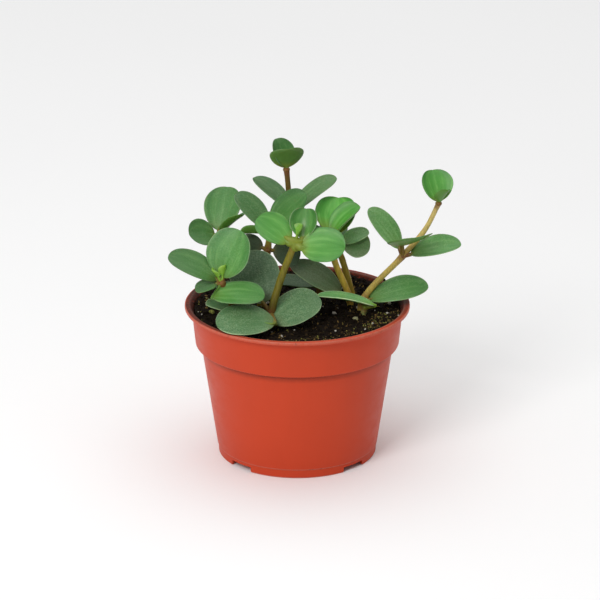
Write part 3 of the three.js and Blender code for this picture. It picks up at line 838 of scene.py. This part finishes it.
def pot_profile(corner):
    """Outline of the wall as radius, height and how pale its corner is: rubbed on the foot, and on
    the lip partly wear and partly a painted highlight.
    """
    under = POT_HEIGHT - LIP_DEPTH
    floor_top = FLOOR_Z + FLOOR_THICK
    sharp = [
        (FOOT_RADIUS - FOOT_WALL, FLOOR_Z, 0.2, 0),
        (FOOT_RADIUS - FOOT_WALL, 0, 0.2, 0.3),
        (FOOT_RADIUS, 0, corner, 0.5),
        (FOOT_RADIUS + FOOT_STEP, FOOT_LINE_Z - FOOT_STEP, 0.08, 0.5),
        (WALL_LOW_RADIUS, FOOT_LINE_Z, 0.15, 0.5),
        (WALL_TOP_RADIUS, BAND_LOW_Z, 0.3, 0),
        (BAND_LOW_RADIUS, BAND_LOW_Z, 1.5 * corner, 0),
        (BAND_TOP_RADIUS, under, 0.5, 0),
        (LIP_RADIUS, under, 0.8 * corner, 0.2),
        (LIP_RADIUS, POT_HEIGHT, 0.9 * corner, 0.6),
        (LIP_RADIUS - LIP_FLAT, POT_HEIGHT, 1.2 * corner, 0.8),
        (pot_inner_radius(under), POT_HEIGHT - LIP_INSIDE, 1.0, 0.2),
        (pot_inner_radius(BAND_LOW_Z + WALL), BAND_LOW_Z + WALL, 0.5, 0),
        (pot_inner_radius(BAND_LOW_Z - WALL), BAND_LOW_Z - WALL, 0.5, 0),
        (pot_inner_radius(floor_top), floor_top, 1.0, 0),
    ]
    ends = [(0.0, FLOOR_Z), (0.0, floor_top)]
    return sharp, ends


def rounded(sharp, ends, steps=4, span=4.0):
    """The outline with each corner turned into a short curve and long straights divided."""
    corners = [Vector(ends[0])] + [Vector(point[:2]) for point in sharp] + [Vector(ends[1])]
    outline = []
    for place, (_, _, radius, rub_and_highlight) in enumerate(sharp, start=1):
        before, here, after = corners[place - 1], corners[place], corners[place + 1]
        reach_in = min(radius, (here - before).length * 0.45)
        reach_out = min(radius, (after - here).length * 0.45)
        first = here + (before - here).normalized() * reach_in
        last = here + (after - here).normalized() * reach_out
        for step in range(steps + 1):
            share = step / steps
            point = first.lerp(here, share).lerp(here.lerp(last, share), share)
            outline.append((point, rub_and_highlight))
        following = corners[place + 1]
        if place < len(sharp):
            nearness = min(sharp[place][2], (following - here).length * 0.45)
            target = following + (here - following).normalized() * nearness
            straight = target - last
            pieces = max(1, round(straight.length / span))
            if straight.length > 1.2:
                outline.append((last + straight.normalized() * 0.3, 0))
                for piece in range(1, pieces):
                    outline.append((last + straight * piece / pieces, 0))
                outline.append((target - straight.normalized() * 0.3, 0))
    return outline


def ring_cutter(name, outline, depth, far, turns):
    """Prisms cut in towards the axis from far out, one at each turn round it."""
    work = bmesh.new()
    for turn in turns:
        made = [work.verts.new((x * MM, -far * MM, z * MM)) for x, z in outline]
        face = work.faces.new(made)
        moved = bmesh.ops.extrude_face_region(work, geom=[face])["geom"]
        points = [item for item in moved if isinstance(item, bmesh.types.BMVert)]
        bmesh.ops.translate(work, verts=points, vec=(0, depth * MM, 0))
        spin = Matrix.Translation(AXIS) @ Matrix.Rotation(turn, 4, "Z")
        bmesh.ops.transform(work, matrix=spin, verts=made + points)
    bmesh.ops.recalc_face_normals(work, faces=work.faces)
    return cutter_from(work, name)


def drill_cutter(name, turns):
    work = bmesh.new()
    for turn in turns:
        place = Matrix.Translation(AXIS) @ Matrix.Rotation(turn, 4, "Z")
        middle = Vector((0, -DRAIN_CIRCLE, FLOOR_Z + FLOOR_THICK / 2)) * MM
        place = place @ Matrix.Translation(middle)
        bmesh.ops.create_cone(
            work, cap_ends=True, segments=DRAIN_SIDES,
            radius1=DRAIN_RADIUS * MM, radius2=DRAIN_RADIUS * MM,
            depth=4 * FLOOR_THICK * MM, matrix=place)
    return cutter_from(work, name)


def cutter_from(work, name):
    mesh = bpy.data.meshes.new(name)
    work.to_mesh(mesh)
    work.free()
    return linked(name, mesh)


def cut(piece, *cutters):
    for cutter in cutters:
        modifier = piece.modifiers.new(cutter.name, "BOOLEAN")
        modifier.object = cutter
        modifier.operation = "DIFFERENCE"
        modifier.solver = "EXACT"
    applied(piece)
    for cutter in cutters:
        bpy.data.objects.remove(cutter)


def notch_outline():
    half = NOTCH_WIDTH / 2
    low = [(-half - NOTCH_FLARE, -1), (half + NOTCH_FLARE, -1)]
    curve = []
    for step in range(6):
        share = step / 5
        along = (1 - share) ** 2 * NOTCH_FLARE
        up = share**2 * NOTCH_FLARE
        curve.append((half + along, up))
    right = curve + [(half, NOTCH_HEIGHT)]
    left = [(-x, z) for x, z in reversed(right)]
    return low + right + left


class PEPEROMIA_OT_pot(bpy.types.Operator):
    """Makes the nursery pot, with its lip, band, wall, notched foot ring and drainage holes"""

    bl_idname = "peperomia.pot"
    bl_label = "Make the pot"

    def execute(self, context):
        looks = context.scene.peperomia.pot
        outline = rounded(*pot_profile(looks.corner / MM))
        angles = np.arange(POT_SEGMENTS) * math.tau / POT_SEGMENTS
        wave = looks.waviness / MM
        stray = wave * (0.5 + 0.3 * np.sin(2 * angles + 0.7) + 0.2 * np.sin(5 * angles))
        radius = np.array([point.x for point, _ in outline])[:, None]
        height = np.array([point.y for point, _ in outline])[:, None]
        rub_and_highlight = np.array([paleness for _, paleness in outline])[:, None]
        loose = np.clip(height / POT_HEIGHT, 0, 1) * np.clip(radius / FOOT_RADIUS, 0, 1)
        spread = radius - stray[None, :] * loose * (height < POT_HEIGHT - 3)
        rows = np.stack(
            [spread * np.sin(angles), -spread * np.cos(angles), height + 0 * angles], axis=-1)
        inside = np.arange(len(outline))[:, None] > np.argmax(height)
        # Painted shade, with soil stain, inside the pot: darkest just below the lip, at the back,
        # right and left of its inner face, and in the fold under the band.
        stain_and_shade = inside * np.clip((POT_HEIGHT - 0.4 - height) / STAIN_AND_SHADE_DEPTH, 0, 1)
        far_side = np.clip(0.5 + 1.4 * np.cos(angles - SHADED_SIDE), 0, 1)
        left_side = 0.9 * np.clip(-np.sin(angles), 0, 1)
        on_lip = inside * (height > POT_HEIGHT - 2) * (0.75 * far_side + left_side)
        stain_and_shade = np.maximum(stain_and_shade, on_lip)
        crease = np.abs(height - BAND_LOW_Z) < CREASE_REACH
        crease = ~inside & crease & (radius < BAND_LOW_RADIUS - 0.8)
        stain_and_shade = np.maximum(stain_and_shade, 0.5 * crease)
        skin = Skin("edge", "stain_and_shade")
        floor_top = FLOOR_Z + FLOOR_THICK
        skin.add_rows((0, 0, FLOOR_Z), rows, (0, 0, floor_top), {},
                      {"edge": rub_and_highlight, "stain_and_shade": stain_and_shade}, {"stain_and_shade": 1})
        pot = skin.piece("nursery_pot")
        first = math.radians(NOTCH_FIRST_DEG)
        turns = [first + turn for turn in turns_round(NOTCH_COUNT)]
        notches = ring_cutter("notches", notch_outline(), NOTCH_REACH, FOOT_RADIUS + 2, turns)
        cut(pot, notches, drill_cutter("drains", turns))
        pot.data.materials.clear()
        pot.data.materials.append(pot_plastic(looks))
        pot.data.shade_smooth()
        pot.data.set_sharp_from_angle(angle=math.radians(SHARP_DEG))
        settled(pot, "pot_plastic", "pot")
        return {"FINISHED"}


# ------------------------------------------------------------------ soil


def soil_height(x, y):
    swell = math.sin(x / SWELL_WAVE[0] + 0.6) * math.cos(y / SWELL_WAVE[1] - 0.4)
    lump = math.sin(x / LUMP_WAVE[0] + 2.3) * math.sin(y / LUMP_WAVE[1] + 0.4)
    ridge = math.sin(x / RIDGE_WAVE[0] - y / RIDGE_WAVE[1])
    return SOIL_Z + SOIL_SWELL * swell + SOIL_LUMP * (lump + ridge) + SOIL_CLIMB * max(0, y)


def soil_body():
    """The filled soil, rough on top, with the value top set where grains may fall."""
    low = FLOOR_Z + FLOOR_THICK + 0.1
    levels = [(low, pot_inner_radius(low) - 1.2), (low + 2, pot_inner_radius(low + 2) - 0.1)]
    for z in (BAND_LOW_Z - WALL, BAND_LOW_Z + WALL + 0.4):
        levels.append((z, pot_inner_radius(z) - 0.15))
    angles = np.arange(SOIL_SEGMENTS) * math.tau / SOIL_SEGMENTS
    rows = []
    for z, radius in levels:
        rows.append([(radius * math.cos(a), radius * math.sin(a), z) for a in angles])
    reach = pot_inner_radius(SOIL_Z) - 0.1
    for ring in range(SOIL_RINGS, 0, -1):
        radius = reach * ring / SOIL_RINGS
        row = []
        for a in angles:
            x, y = radius * math.cos(a), radius * math.sin(a)
            rough = 0.45 * noise.noise(Vector((x, y, 0)) / 1.9)
            rough += 0.25 * noise.noise(Vector((x, y, 7)) / 0.8)
            near_wall = max(0, ring / SOIL_RINGS - 0.88) / 0.12
            bank = near_wall * (0.9 + 1.1 * max(0, -math.cos(a)) + 0.8 * max(0, math.sin(a)))
            bank *= 0.75 + 0.5 * noise.noise(Vector((x, y, 3)) / 4)
            row.append((x, y, soil_height(x, y) + rough + bank))
        rows.append(row)
    top = np.zeros((len(rows), SOIL_SEGMENTS))
    top[len(levels):] = 1
    skin = Skin("top", "hue")
    middle = (0, 0, soil_height(0, 0))
    skin.add_rows((0, 0, low), np.array(rows), middle, {}, {"top": top, "hue": 0.0}, {"top": 1})
    return skin.piece("soil_body")


def grain_tree(name):
    """Scatters crumpled grains over the faces whose value top is set."""
    tree = Tree(name)
    for key, kind, default in (
        ("Density", "NodeSocketFloat", 1.0),
        ("Size", "NodeSocketFloat", 0.001),
        ("Smallest", "NodeSocketFloat", 0.4),
        ("Length", "NodeSocketFloat", 1.0),
        ("Sunk", "NodeSocketFloat", 0.0),
        ("Facets", "NodeSocketInt", 1),
        ("Hue low", "NodeSocketFloat", 0.0),
        ("Hue high", "NodeSocketFloat", 0.1),
        ("Seed", "NodeSocketInt", 0),
        ("Matter", "NodeSocketMaterial", None),
    ):
        tree.add_input(key, kind, default)
    top = tree.value("place")
    seed = tree.entry("Seed")
    points = tree.node(
        "GeometryNodeDistributePointsOnFaces",
        {"Mesh": tree.entry("Geometry"), "Selection": tree.math("GREATER_THAN", top, 0.5),
         "Density": tree.entry("Density"), "Seed": seed})
    ball = tree.first(
        "GeometryNodeMeshIcoSphere", {"Radius": 0.5, "Subdivisions": tree.entry("Facets")})
    crumple = tree.node(
        "ShaderNodeTexNoise", {"Scale": 2.1, "Detail": 1.0, "W": 3.0}, noise_dimensions="4D")
    offset = tree.first(
        "ShaderNodeVectorMath",
        {0: crumple.outputs["Color"], 1: (0.5, 0.5, 0.5)}, operation="SUBTRACT")
    offset = tree.first("ShaderNodeVectorMath", {0: offset, "Scale": 0.9}, operation="SCALE")
    crumb = tree.first("GeometryNodeSetPosition", {"Geometry": ball, "Offset": offset})
    stretch = tree.first("ShaderNodeCombineXYZ", {"X": tree.entry("Length"), "Y": 1.0, "Z": 0.8})
    crumb = tree.first("GeometryNodeTransform", {"Geometry": crumb, "Scale": stretch})
    chance = tree.between(0.0, 1.0, seed)
    share = tree.math("POWER", chance, 2.5)
    scale = tree.times(tree.entry("Size"),
                      tree.math("MULTIPLY_ADD", share, 1.4, tree.entry("Smallest")))
    scattered = tree.node(
        "GeometryNodeInstanceOnPoints",
        {"Points": points.outputs["Points"], "Instance": crumb,
         "Rotation": tree.turn(seed), "Scale": scale})
    drop = tree.node("ShaderNodeCombineXYZ", {"Z": tree.times(tree.entry("Sunk"), -1.0)})
    sunk = tree.node(
        "GeometryNodeTranslateInstances",
        {"Instances": scattered.outputs[0], "Translation": drop.outputs[0], "Local Space": False})
    hue = tree.between(tree.entry("Hue low"), tree.entry("Hue high"), tree.math("ADD", seed, 9))
    coloured = tree.kept_value(sunk.outputs[0], "hue", hue, "INSTANCE")
    tree.leave(coloured, tree.entry("Matter"))
    return tree


def bare_copy(name, source, chosen):
    """A copy of the soil's skin whose value place says where a kind of grain may fall."""
    copy = linked(name, source.data.copy())
    top = np.zeros(len(copy.data.vertices), np.float32)
    copy.data.attributes["top"].data.foreach_get("value", top)
    points = np.array([(v.co - AXIS) / MM for v in copy.data.vertices])
    layer = copy.data.attributes.new("place", "FLOAT", "POINT")
    layer.data.foreach_set("value", (top * chosen(points)).astype(np.float32))
    return copy


def add_stone(skin, stone, number):
    """One crumpled stone that lies on the soil or the lip."""
    x, y, lift, width, length, kind = stone
    centre = Vector((x, y, soil_height(x, y) + lift))
    turn = Matrix.Rotation(STONE_TURN * number, 3, "Z")
    turn = turn @ Matrix.Rotation(STONE_TIP * number, 3, "X")
    rows = []
    for row in range(1, STONE_ROWS):
        tilt = math.pi * row / STONE_ROWS
        ring = []
        for around in turns_round(STONE_SIDES):
            way = Vector((math.sin(tilt) * math.cos(around), math.sin(tilt) * math.sin(around),
                          -math.cos(tilt)))
            bulge = 1 + STONE_BULGE * noise.noise(way * 1.4 + Vector((number, 0, 0)))
            size = Vector((way.x * length, way.y * width, way.z * width)) * bulge / 2
            ring.append(centre + turn @ size)
        rows.append(ring)
    poles = [centre + turn @ Vector((0, 0, side * width / 2)) for side in (-1, 1)]
    skin.add_lump(poles[0], rows, poles[1], {"hue": kind})


def anywhere(points):
    return np.hypot(points[:, 0], points[:, 1]) < GRAIN_REACH


def in_clumps(points):
    """Anywhere that an even noise is high, so that grains lie in clumps a few millimetres wide."""
    high = np.array([noise.noise(Vector(point) / CLUMP) > CLUMP_LEVEL for point in points])
    return anywhere(points) & high


def mossy_edge(points):
    """Near the wall, at the front and the right."""
    radius = np.hypot(points[:, 0], points[:, 1])
    place = (points[:, 0] > -8) & (points[:, 1] < 0)
    return place & (radius > MOSS_FROM) & in_clumps(points)


# Each kind of grain: where it may fall, how many to a crumb, its size to a crumb's, its
# smallest size and its length, how deep it is sunk in mm, its range of hue, and its facets.
GRAINS = {
    "soil_crumbs": (anywhere, 1.0, 1.0, 0.5, 1.2, 0.10, 0.0, 0.27, 1),
    "soil_bark": (in_clumps, 0.26, 0.60, 0.3, 1.9, -0.20, 0.22, 0.66, 1),
    "soil_moss": (mossy_edge, 1.9, 0.42, 0.4, 1.3, -0.22, 0.36, 0.78, 1),
    "soil_perlite": (anywhere, 0.008, 0.7, 0.7, 1.1, -0.30, 0.88, 1.0, 2),
}


class PEPEROMIA_OT_soil(bpy.types.Operator):
    """Makes the soil, with its crumbs, bark, moss specks, stones and perlite"""

    bl_idname = "peperomia.soil"
    bl_label = "Make the soil"

    def execute(self, context):
        looks = context.scene.peperomia.soil
        matter = soil_matter(looks)
        body = soil_body()
        tree = grain_tree("scatter_grains")
        for place, (name, kind) in enumerate(GRAINS.items()):
            chosen, share, size, smallest, long, sunk, hue_low, hue_high, facets = kind
            grains = bare_copy(name, body, chosen)
            tree.use_on(
                grains, density=looks.crumbs * 1e4 * share, size=looks.crumb * size,
                smallest=smallest, length=long, sunk=sunk * MM, facets=facets,
                hue_low=hue_low, hue_high=hue_high, seed=looks.seed + place, matter=matter)
            settled(grains, "soil")
        skin = Skin("hue")
        for number, stone in enumerate(STONES):
            add_stone(skin, stone, number)
        stones = skin.piece("soil_stones")
        stones.data.materials.append(matter)
        settled(stones, "soil")
        body.data.materials.append(matter)
        settled(body, "soil", "soil")
        return {"FINISHED"}


# ------------------------------------------------------------------ stems


def along_path(path, share):
    """Point and direction at a share of a smooth path through points (centripetal spline)."""
    points = [Vector(point) for point in path]
    span = share * (len(points) - 1)
    index = min(int(span), len(points) - 2)
    t = span - index
    p1, p2 = points[index], points[index + 1]
    p0 = points[index - 1] if index > 0 else 2 * p1 - p2
    p3 = points[index + 2] if index + 2 < len(points) else 2 * p2 - p1
    d0, d1, d2 = (max((b - a).length, 1e-4) ** 0.5 for a, b in ((p0, p1), (p1, p2), (p2, p3)))
    m1 = ((p1 - p0) / d0 - (p2 - p0) / (d0 + d1) + (p2 - p1) / d1) * d1
    m2 = ((p2 - p1) / d1 - (p3 - p1) / (d1 + d2) + (p3 - p2) / d2) * d1
    c2 = -3 * p1 + 3 * p2 - 2 * m1 - m2
    c3 = 2 * p1 - 2 * p2 + m1 + m2
    point = p1 + m1 * t + c2 * t**2 + c3 * t**3
    direction = m1 + 2 * c2 * t + 3 * c3 * t**2
    return point, direction.normalized()


def sweep_tree():
    """Turns loose edges into round limbs as thick as their value girth says."""
    tree = Tree("sweep_limbs")
    tree.add_input("Sides", "NodeSocketInt", SWEEP_SIDES)
    tree.add_input("Skin", "NodeSocketMaterial")
    faces = tree.node("GeometryNodeInputMeshEdgeNeighbors").outputs[0]
    loose = tree.math("LESS_THAN", faces, 0.5)
    curves = tree.node(
        "GeometryNodeMeshToCurve", {"Mesh": tree.entry("Geometry"), "Selection": loose})
    girth = tree.value("girth")
    ring = tree.node(
        "GeometryNodeCurvePrimitiveCircle", {"Resolution": tree.entry("Sides"), "Radius": 1.0})
    limbs = tree.node(
        "GeometryNodeCurveToMesh",
        {"Curve": curves.outputs[0], "Profile Curve": ring.outputs[0],
         "Scale": tree.times(girth, MM), "Fill Caps": True})
    smooth = tree.node("GeometryNodeSetShadeSmooth", {"Geometry": limbs.outputs[0]})
    blades = tree.node(
        "GeometryNodeDeleteGeometry", {"Geometry": tree.entry("Geometry"), "Selection": loose},
        domain="EDGE")
    whole = tree.node("GeometryNodeJoinGeometry")
    for part in (blades.outputs[0], smooth.outputs[0]):
        tree.group.links.new(part, whole.inputs[0])
    tree.leave(whole.outputs[0], tree.entry("Skin"))
    return tree


def chain(count):
    return [(place, place + 1) for place in range(count - 1)]


class PEPEROMIA_OT_stems(bpy.types.Operator):
    """Makes each stem, swollen and reddish at its joints"""

    bl_idname = "peperomia.stems"
    bl_label = "Make the stems"

    def execute(self, context):
        looks = context.scene.peperomia.stems
        tree = sweep_tree()
        finish = stem_skin(looks)
        for name, (low, high, low_colour, high_colour, path) in STEMS.items():
            shares = np.linspace(0, 1, STEM_STEPS + 1)
            points = [along_path(path, share)[0] for share in shares]
            joints = [joint for stem, joint, _, _ in WHORLS.values() if stem == name]
            near = np.zeros(len(shares))
            for joint in joints:
                centre = Vector(path[joint])
                away = np.array([(point - centre).length for point in points])
                near = np.maximum(near, np.exp(-((away / JOINT_REACH) ** 2)))
            girth = (low + (high - low) * shares) * (1 + looks.swelling * near)
            girth *= 1 + STEM_WAVE * np.sin(shares * 31 + len(name))
            skin = Skin("girth", "joint")
            skin.add(points, edges=chain(len(points)), girth=girth, joint=near**0.6)
            piece = skin.piece("stem_" + name + "_skin")
            shade = piece.data.attributes.new("skin", "FLOAT_COLOR", "POINT")
            for place, share in enumerate(shares):
                mixed = Vector(low_colour).lerp(Vector(high_colour), share)
                shade.data[place].color = (*mixed, 1)
            tree.use_on(piece, sides=SWEEP_SIDES, skin=finish)
            settled(piece, "stem", "stem_" + name)
        return {"FINISHED"}


# ------------------------------------------------------------------ leaves


def direction(heading, rise):
    flat = math.cos(rise)
    return Vector((flat * math.cos(heading), flat * math.sin(heading), math.sin(rise)))


def along_blade(spec, share):
    """How far out and up the blade's middle line is, and its slope there."""
    bend = math.radians(spec["arch"] or 0.01)
    first = math.radians(spec["rise"]) + bend / 2
    slope = first - bend * share
    out = spec["length"] * (math.sin(first) - math.sin(slope)) / bend
    up = spec["length"] * (math.cos(slope) - math.cos(first)) / bend
    return out, up, slope


def blade_axes(spec, share):
    """The blade's middle, and its left and upward directions, at a share of its length."""
    out, up, slope = along_blade(spec, share)
    heading, roll = math.radians(spec["heading"]), math.radians(spec["roll"])
    ahead = direction(heading, slope)
    level = direction(heading, slope + math.pi / 2)
    sideways = level.cross(ahead)
    normal = level * math.cos(roll) + sideways * math.sin(roll)
    left = sideways * math.cos(roll) - level * math.sin(roll)
    middle = direction(heading, 0) * out + Vector((0, 0, up))
    return middle, left, normal


def half_width(spec, share):
    eased = share**LEAF_WIDEST
    return spec["width"] * math.sqrt(max(0.0, eased * (1 - eased)))


def add_blade(skin, spec, start, groove, number):
    """A thick blade with a rounded edge, grooved over its veins, closed at both ends."""
    turns = np.arange(BLADE_SIDES) * math.tau / BLADE_SIDES
    across = np.cos(turns)
    face = np.sign(np.sin(turns)) * np.abs(np.sin(turns)) ** EDGE_FULLNESS
    upper = np.clip(np.sin(turns) * 6 + 0.5, 0, 1)
    veins = sum(np.exp(-(((np.abs(across) - vein) / VEIN_WIDTH) ** 2)) for vein in VEINS)
    rows, shares, edges, heels = [], [], [], []
    for row in range(1, BLADE_ROWS):
        share = 0.5 - 0.5 * math.cos(math.pi * row / BLADE_ROWS)
        middle, left, normal = blade_axes(spec, share)
        wave = (1 - OUTLINE_WAVE) + OUTLINE_WAVE * math.sin(9 * share + number)
        half = half_width(spec, share) * wave
        taper = max(0.0, 1 - BASE_TAPER * share)
        half = max(half, spec["petiole"] * taper * min(1, 40 * share) ** 0.5)
        ends = min(1.0, 9 * share, 7 * (1 - share)) ** 0.5
        thick = LEAF_THICK / 2 * (1.1 - LEAF_THINNING * share) * ends
        depth = groove * (1 - share) ** 0.6 * min(1.0, 6 * share)
        ripple = RIPPLE * math.sin(7 * share + 1.7 * number) * across * np.abs(across)
        lift = face * thick + spec["cup"] * half * across**2 + ripple
        lift -= np.where(face > 0, depth * veins, -0.6 * depth * veins)
        points = [
            start + middle + left * float(half * a) + normal * float(rise)
            for a, rise in zip(across, lift)
        ]
        rows.append(points)
        shares.append(np.full(BLADE_SIDES, share))
        heels.append(np.full(BLADE_SIDES, spec["heel"] * max(0.0, 1 - share / spec["heel_reach"])))
        margin = half * (1 - np.abs(across))
        edges.append(np.clip(1 - margin / RIM_WIDTH, 0, 1) * (0.35 + 0.65 * min(1, 4 * share)))
    first = start + blade_axes(spec, 0)[0]
    last = start + blade_axes(spec, 1)[0]
    common = {key: spec[key] for key in LEAF_VALUES}
    common["leaf"] = number
    row_values = {"across": across[None, :], "along": np.array(shares), "upper": upper[None, :],
                  "edge": np.array(edges), "stalk": np.array(heels), **common}
    skin.add_rows(first, np.array(rows), last, {"upper": 0.5, "stalk": spec["heel"], **common},
                  row_values,
                  {"along": 1, "upper": 0.5, "edge": 0.5, **common})


def add_stalk(skin, spec, foot, start):
    """A stalk from inside the joint that runs out under the blade as its midrib."""
    reach = direction(math.radians(spec["toward"]), math.radians(spec["climb"]))
    inside = start + blade_axes(spec, 0.30)[0]
    hold = spec["stalk"] * 0.45
    bend = start + reach * hold
    points, girth, colour = [], [], []
    for step in range(STALK_STEPS + 1):
        share = step / STALK_STEPS
        if share < 0.5:
            point = foot.lerp(start, share * 2)
        else:
            late = share * 2 - 1
            point = start.lerp(bend, late).lerp(bend.lerp(inside, late), late)
        points.append(point)
        thinning = 0.5 * share + 1.2 * max(0.0, share - 0.5)
        girth.append(spec["petiole"] * (1.15 - thinning))
        colour.append(min(1.0, 1.7 - 1.7 * share) * spec["flesh"])
    skin.add(points, edges=chain(len(points)), girth=girth, stalk=colour, upper=0.0, along=0.1,
             **{key: spec[key] for key in LEAF_VALUES})


def add_collar(skin, place, radius, red):
    """The clasping leaf bases round a joint, as an uneven ring of flesh."""
    rows = []
    for row in range(1, COLLAR_ROWS):
        tilt = math.pi * row / COLLAR_ROWS
        ring = []
        for turn in turns_round(COLLAR_SIDES):
            swell = 1 + COLLAR_LOBE * math.sin(3 * turn)
            flat = radius * math.sin(tilt) * swell
            ring.append(place + Vector((flat * math.cos(turn), flat * math.sin(turn),
                                        -COLLAR_HEIGHT * radius * math.cos(tilt))))
        rows.append(ring)
    rise = Vector((0, 0, COLLAR_HEIGHT * radius))
    skin.add_lump(place - rise, rows, place + rise, {"stalk": 1.0, "fresh": 0.6, "red": red})


def add_sheath(skin, foot, half_width, half_depth, tilt):
    """Fused leaf bases that open like a flat funnel above a joint."""
    rows = []
    for z, wide, deep in SHEATH_LEVELS:
        ring = []
        for turn in turns_round(SHEATH_SIDES):
            x = half_width * wide * math.cos(turn)
            y = half_depth * deep * math.sin(turn)
            ring.append(foot + Vector((x, y, z + tilt * x)))
        rows.append(ring)
    poles = [foot + Vector((0, 0, z)) for z in SHEATH_POLES]
    values = {"stalk": 1.0, "fresh": 0.6, "red": -0.12, "tone": 0.5}
    skin.add_lump(poles[0], rows, poles[1], values)


class PEPEROMIA_OT_leaves(bpy.types.Operator):
    """Makes each whorl of leaves, with its stalks and the collar round its joint"""

    bl_idname = "peperomia.leaves"
    bl_label = "Make the leaves"

    def execute(self, context):
        looks = context.scene.peperomia.leaves
        tree = sweep_tree()
        finishes = {
            "leaf_young": leaf_skin("young_leaf", looks, 0.05),
            "leaf_mature": leaf_skin("old_leaf", looks, 0.03),
        }
        for name, (stem, joint, slot, leaves) in WHORLS.items():
            low, high, _, _, path = STEMS[stem]
            skin = Skin("across", "along", "upper", "edge", "leaf", "stalk", "girth",
                        *LEAF_VALUES)
            foot = Vector(path[joint])
            for number, spec in enumerate(leaves):
                reach = direction(math.radians(spec["toward"]), math.radians(spec["climb"]))
                start = foot + reach * spec["stalk"]
                add_blade(skin, spec, start, looks.groove / MM, number + len(name))
                add_stalk(skin, spec, foot, start)
            radius = low + (high - low) * joint / (len(path) - 1)
            stand, red = COLLARS.get(name, PLAIN_COLLAR)
            add_collar(skin, foot, radius + stand, red)
            if name in SHEATHS:
                add_sheath(skin, foot, *SHEATHS[name])
            piece = skin.piece("whorl_" + name)
            tree.use_on(piece, sides=SWEEP_SIDES, skin=finishes[slot])
            settled(piece, slot, "leaves_" + name)
        return {"FINISHED"}


# ------------------------------------------------------------------ stage

AIM_RIGHT = 1.3  # the picture's middle is this far right of the pot's axis, mm
AIM_HEIGHT = 76.46
CAMERA_AWAY = 1400
CAMERA_RISE_DEG = 20.3
CAMERA_LENS = 175.1
SENSOR_WIDTH = 36
CLIP = (0.05, 50)
FLOOR_HALF = 6.0

# Each large light, in metres: where it is, its size, and what it points at if not the plant.
KEY_LIGHT = ((-0.62, -1.02, 0.95), (0.6, 0.6))
TOP_LIGHT = ((0.0, 0.8, 2.2), (3.6, 4.2))
TOP_AIM = (0.0, 0.8, 0.0)


def area_light(name, place, size, power, target):
    data = bpy.data.lights.new(name, "AREA")
    data.shape = "RECTANGLE"
    data.size, data.size_y = size
    data.energy = power
    light = linked(name, data)
    light.location = place
    light.rotation_euler = (Vector(target) - Vector(place)).to_track_quat("-Z", "Y").to_euler()


class PEPEROMIA_OT_stage(bpy.types.Operator):
    """Makes the floor, the lights and the camera"""

    bl_idname = "peperomia.stage"
    bl_label = "Set the stage"

    def execute(self, context):
        looks = context.scene.peperomia.stage
        scene = context.scene
        mesh = bpy.data.meshes.new("floor")
        corners = [(-1, -1), (1, -1), (1, 1), (-1, 1)]
        points = [(x * FLOOR_HALF, y * FLOOR_HALF, 0) for x, y in corners]
        mesh.from_pydata(points, [], [(0, 1, 2, 3)])
        mesh.materials.append(floor_finish(looks))
        floor = linked("floor", mesh)

        aim = AXIS + Vector((AIM_RIGHT, 0, AIM_HEIGHT)) * MM
        area_light("key", *KEY_LIGHT, looks.key, aim)
        area_light("overhead", *TOP_LIGHT, looks.top, TOP_AIM)

        world = bpy.data.worlds.new("studio")
        world.use_nodes = True
        backdrop = world.node_tree.nodes["Background"]
        backdrop.inputs["Color"].default_value = (1, 1, 1, 1)
        backdrop.inputs["Strength"].default_value = looks.sky
        scene.world = world

        rise = math.radians(CAMERA_RISE_DEG)
        back = Vector((0, -math.cos(rise), math.sin(rise)))
        data = bpy.data.cameras.new("camera")
        data.lens = CAMERA_LENS
        data.sensor_width = SENSOR_WIDTH
        data.clip_start, data.clip_end = CLIP
        camera = linked("camera", data)
        camera.location = aim + back * CAMERA_AWAY * MM
        camera.rotation_euler = (-back).to_track_quat("-Z", "Y").to_euler()
        scene.camera = camera
        scene.view_settings.view_transform = "Standard"
        return {"FINISHED"}


# ------------------------------------------------------------------ panel and add-on

STEPS = [
    PEPEROMIA_OT_pot,
    PEPEROMIA_OT_soil,
    PEPEROMIA_OT_stems,
    PEPEROMIA_OT_leaves,
    PEPEROMIA_OT_stage,
]


class PEPEROMIA_PT_sidebar(bpy.types.Panel):
    """Lists the sizes and colours, and a button for each piece"""

    bl_idname = "PEPEROMIA_PT_sidebar"
    bl_label = "Potted peperomia"
    bl_space_type = "VIEW_3D"
    bl_region_type = "UI"
    bl_category = "Peperomia"

    def draw(self, context):
        looks = context.scene.peperomia
        groups = (looks.pot, looks.soil, looks.stems, looks.leaves, looks.stage)
        for step, group in zip(STEPS, groups):
            box = self.layout.box()
            box.operator(step.bl_idname)
            for key in group.__annotations__:
                box.prop(group, key)


CLASSES = [
    PotLooks,
    SoilLooks,
    StemLooks,
    LeafLooks,
    StageLooks,
    PeperomiaLooks,
    *STEPS,
    PEPEROMIA_PT_sidebar,
]


def register():
    for kind in CLASSES:
        bpy.utils.register_class(kind)
    bpy.types.Scene.peperomia = bpy.props.PointerProperty(
        type=PeperomiaLooks, name="Peperomia", description="Sizes and colours of the potted plant")


def unregister():
    del bpy.types.Scene.peperomia
    for kind in reversed(CLASSES):
        bpy.utils.unregister_class(kind)


def main():
    register()
    bpy.ops.peperomia.stage()
    bpy.ops.peperomia.pot()
    bpy.ops.peperomia.soil()
    bpy.ops.peperomia.stems()
    bpy.ops.peperomia.leaves()


if __name__ == "__main__":
    main()
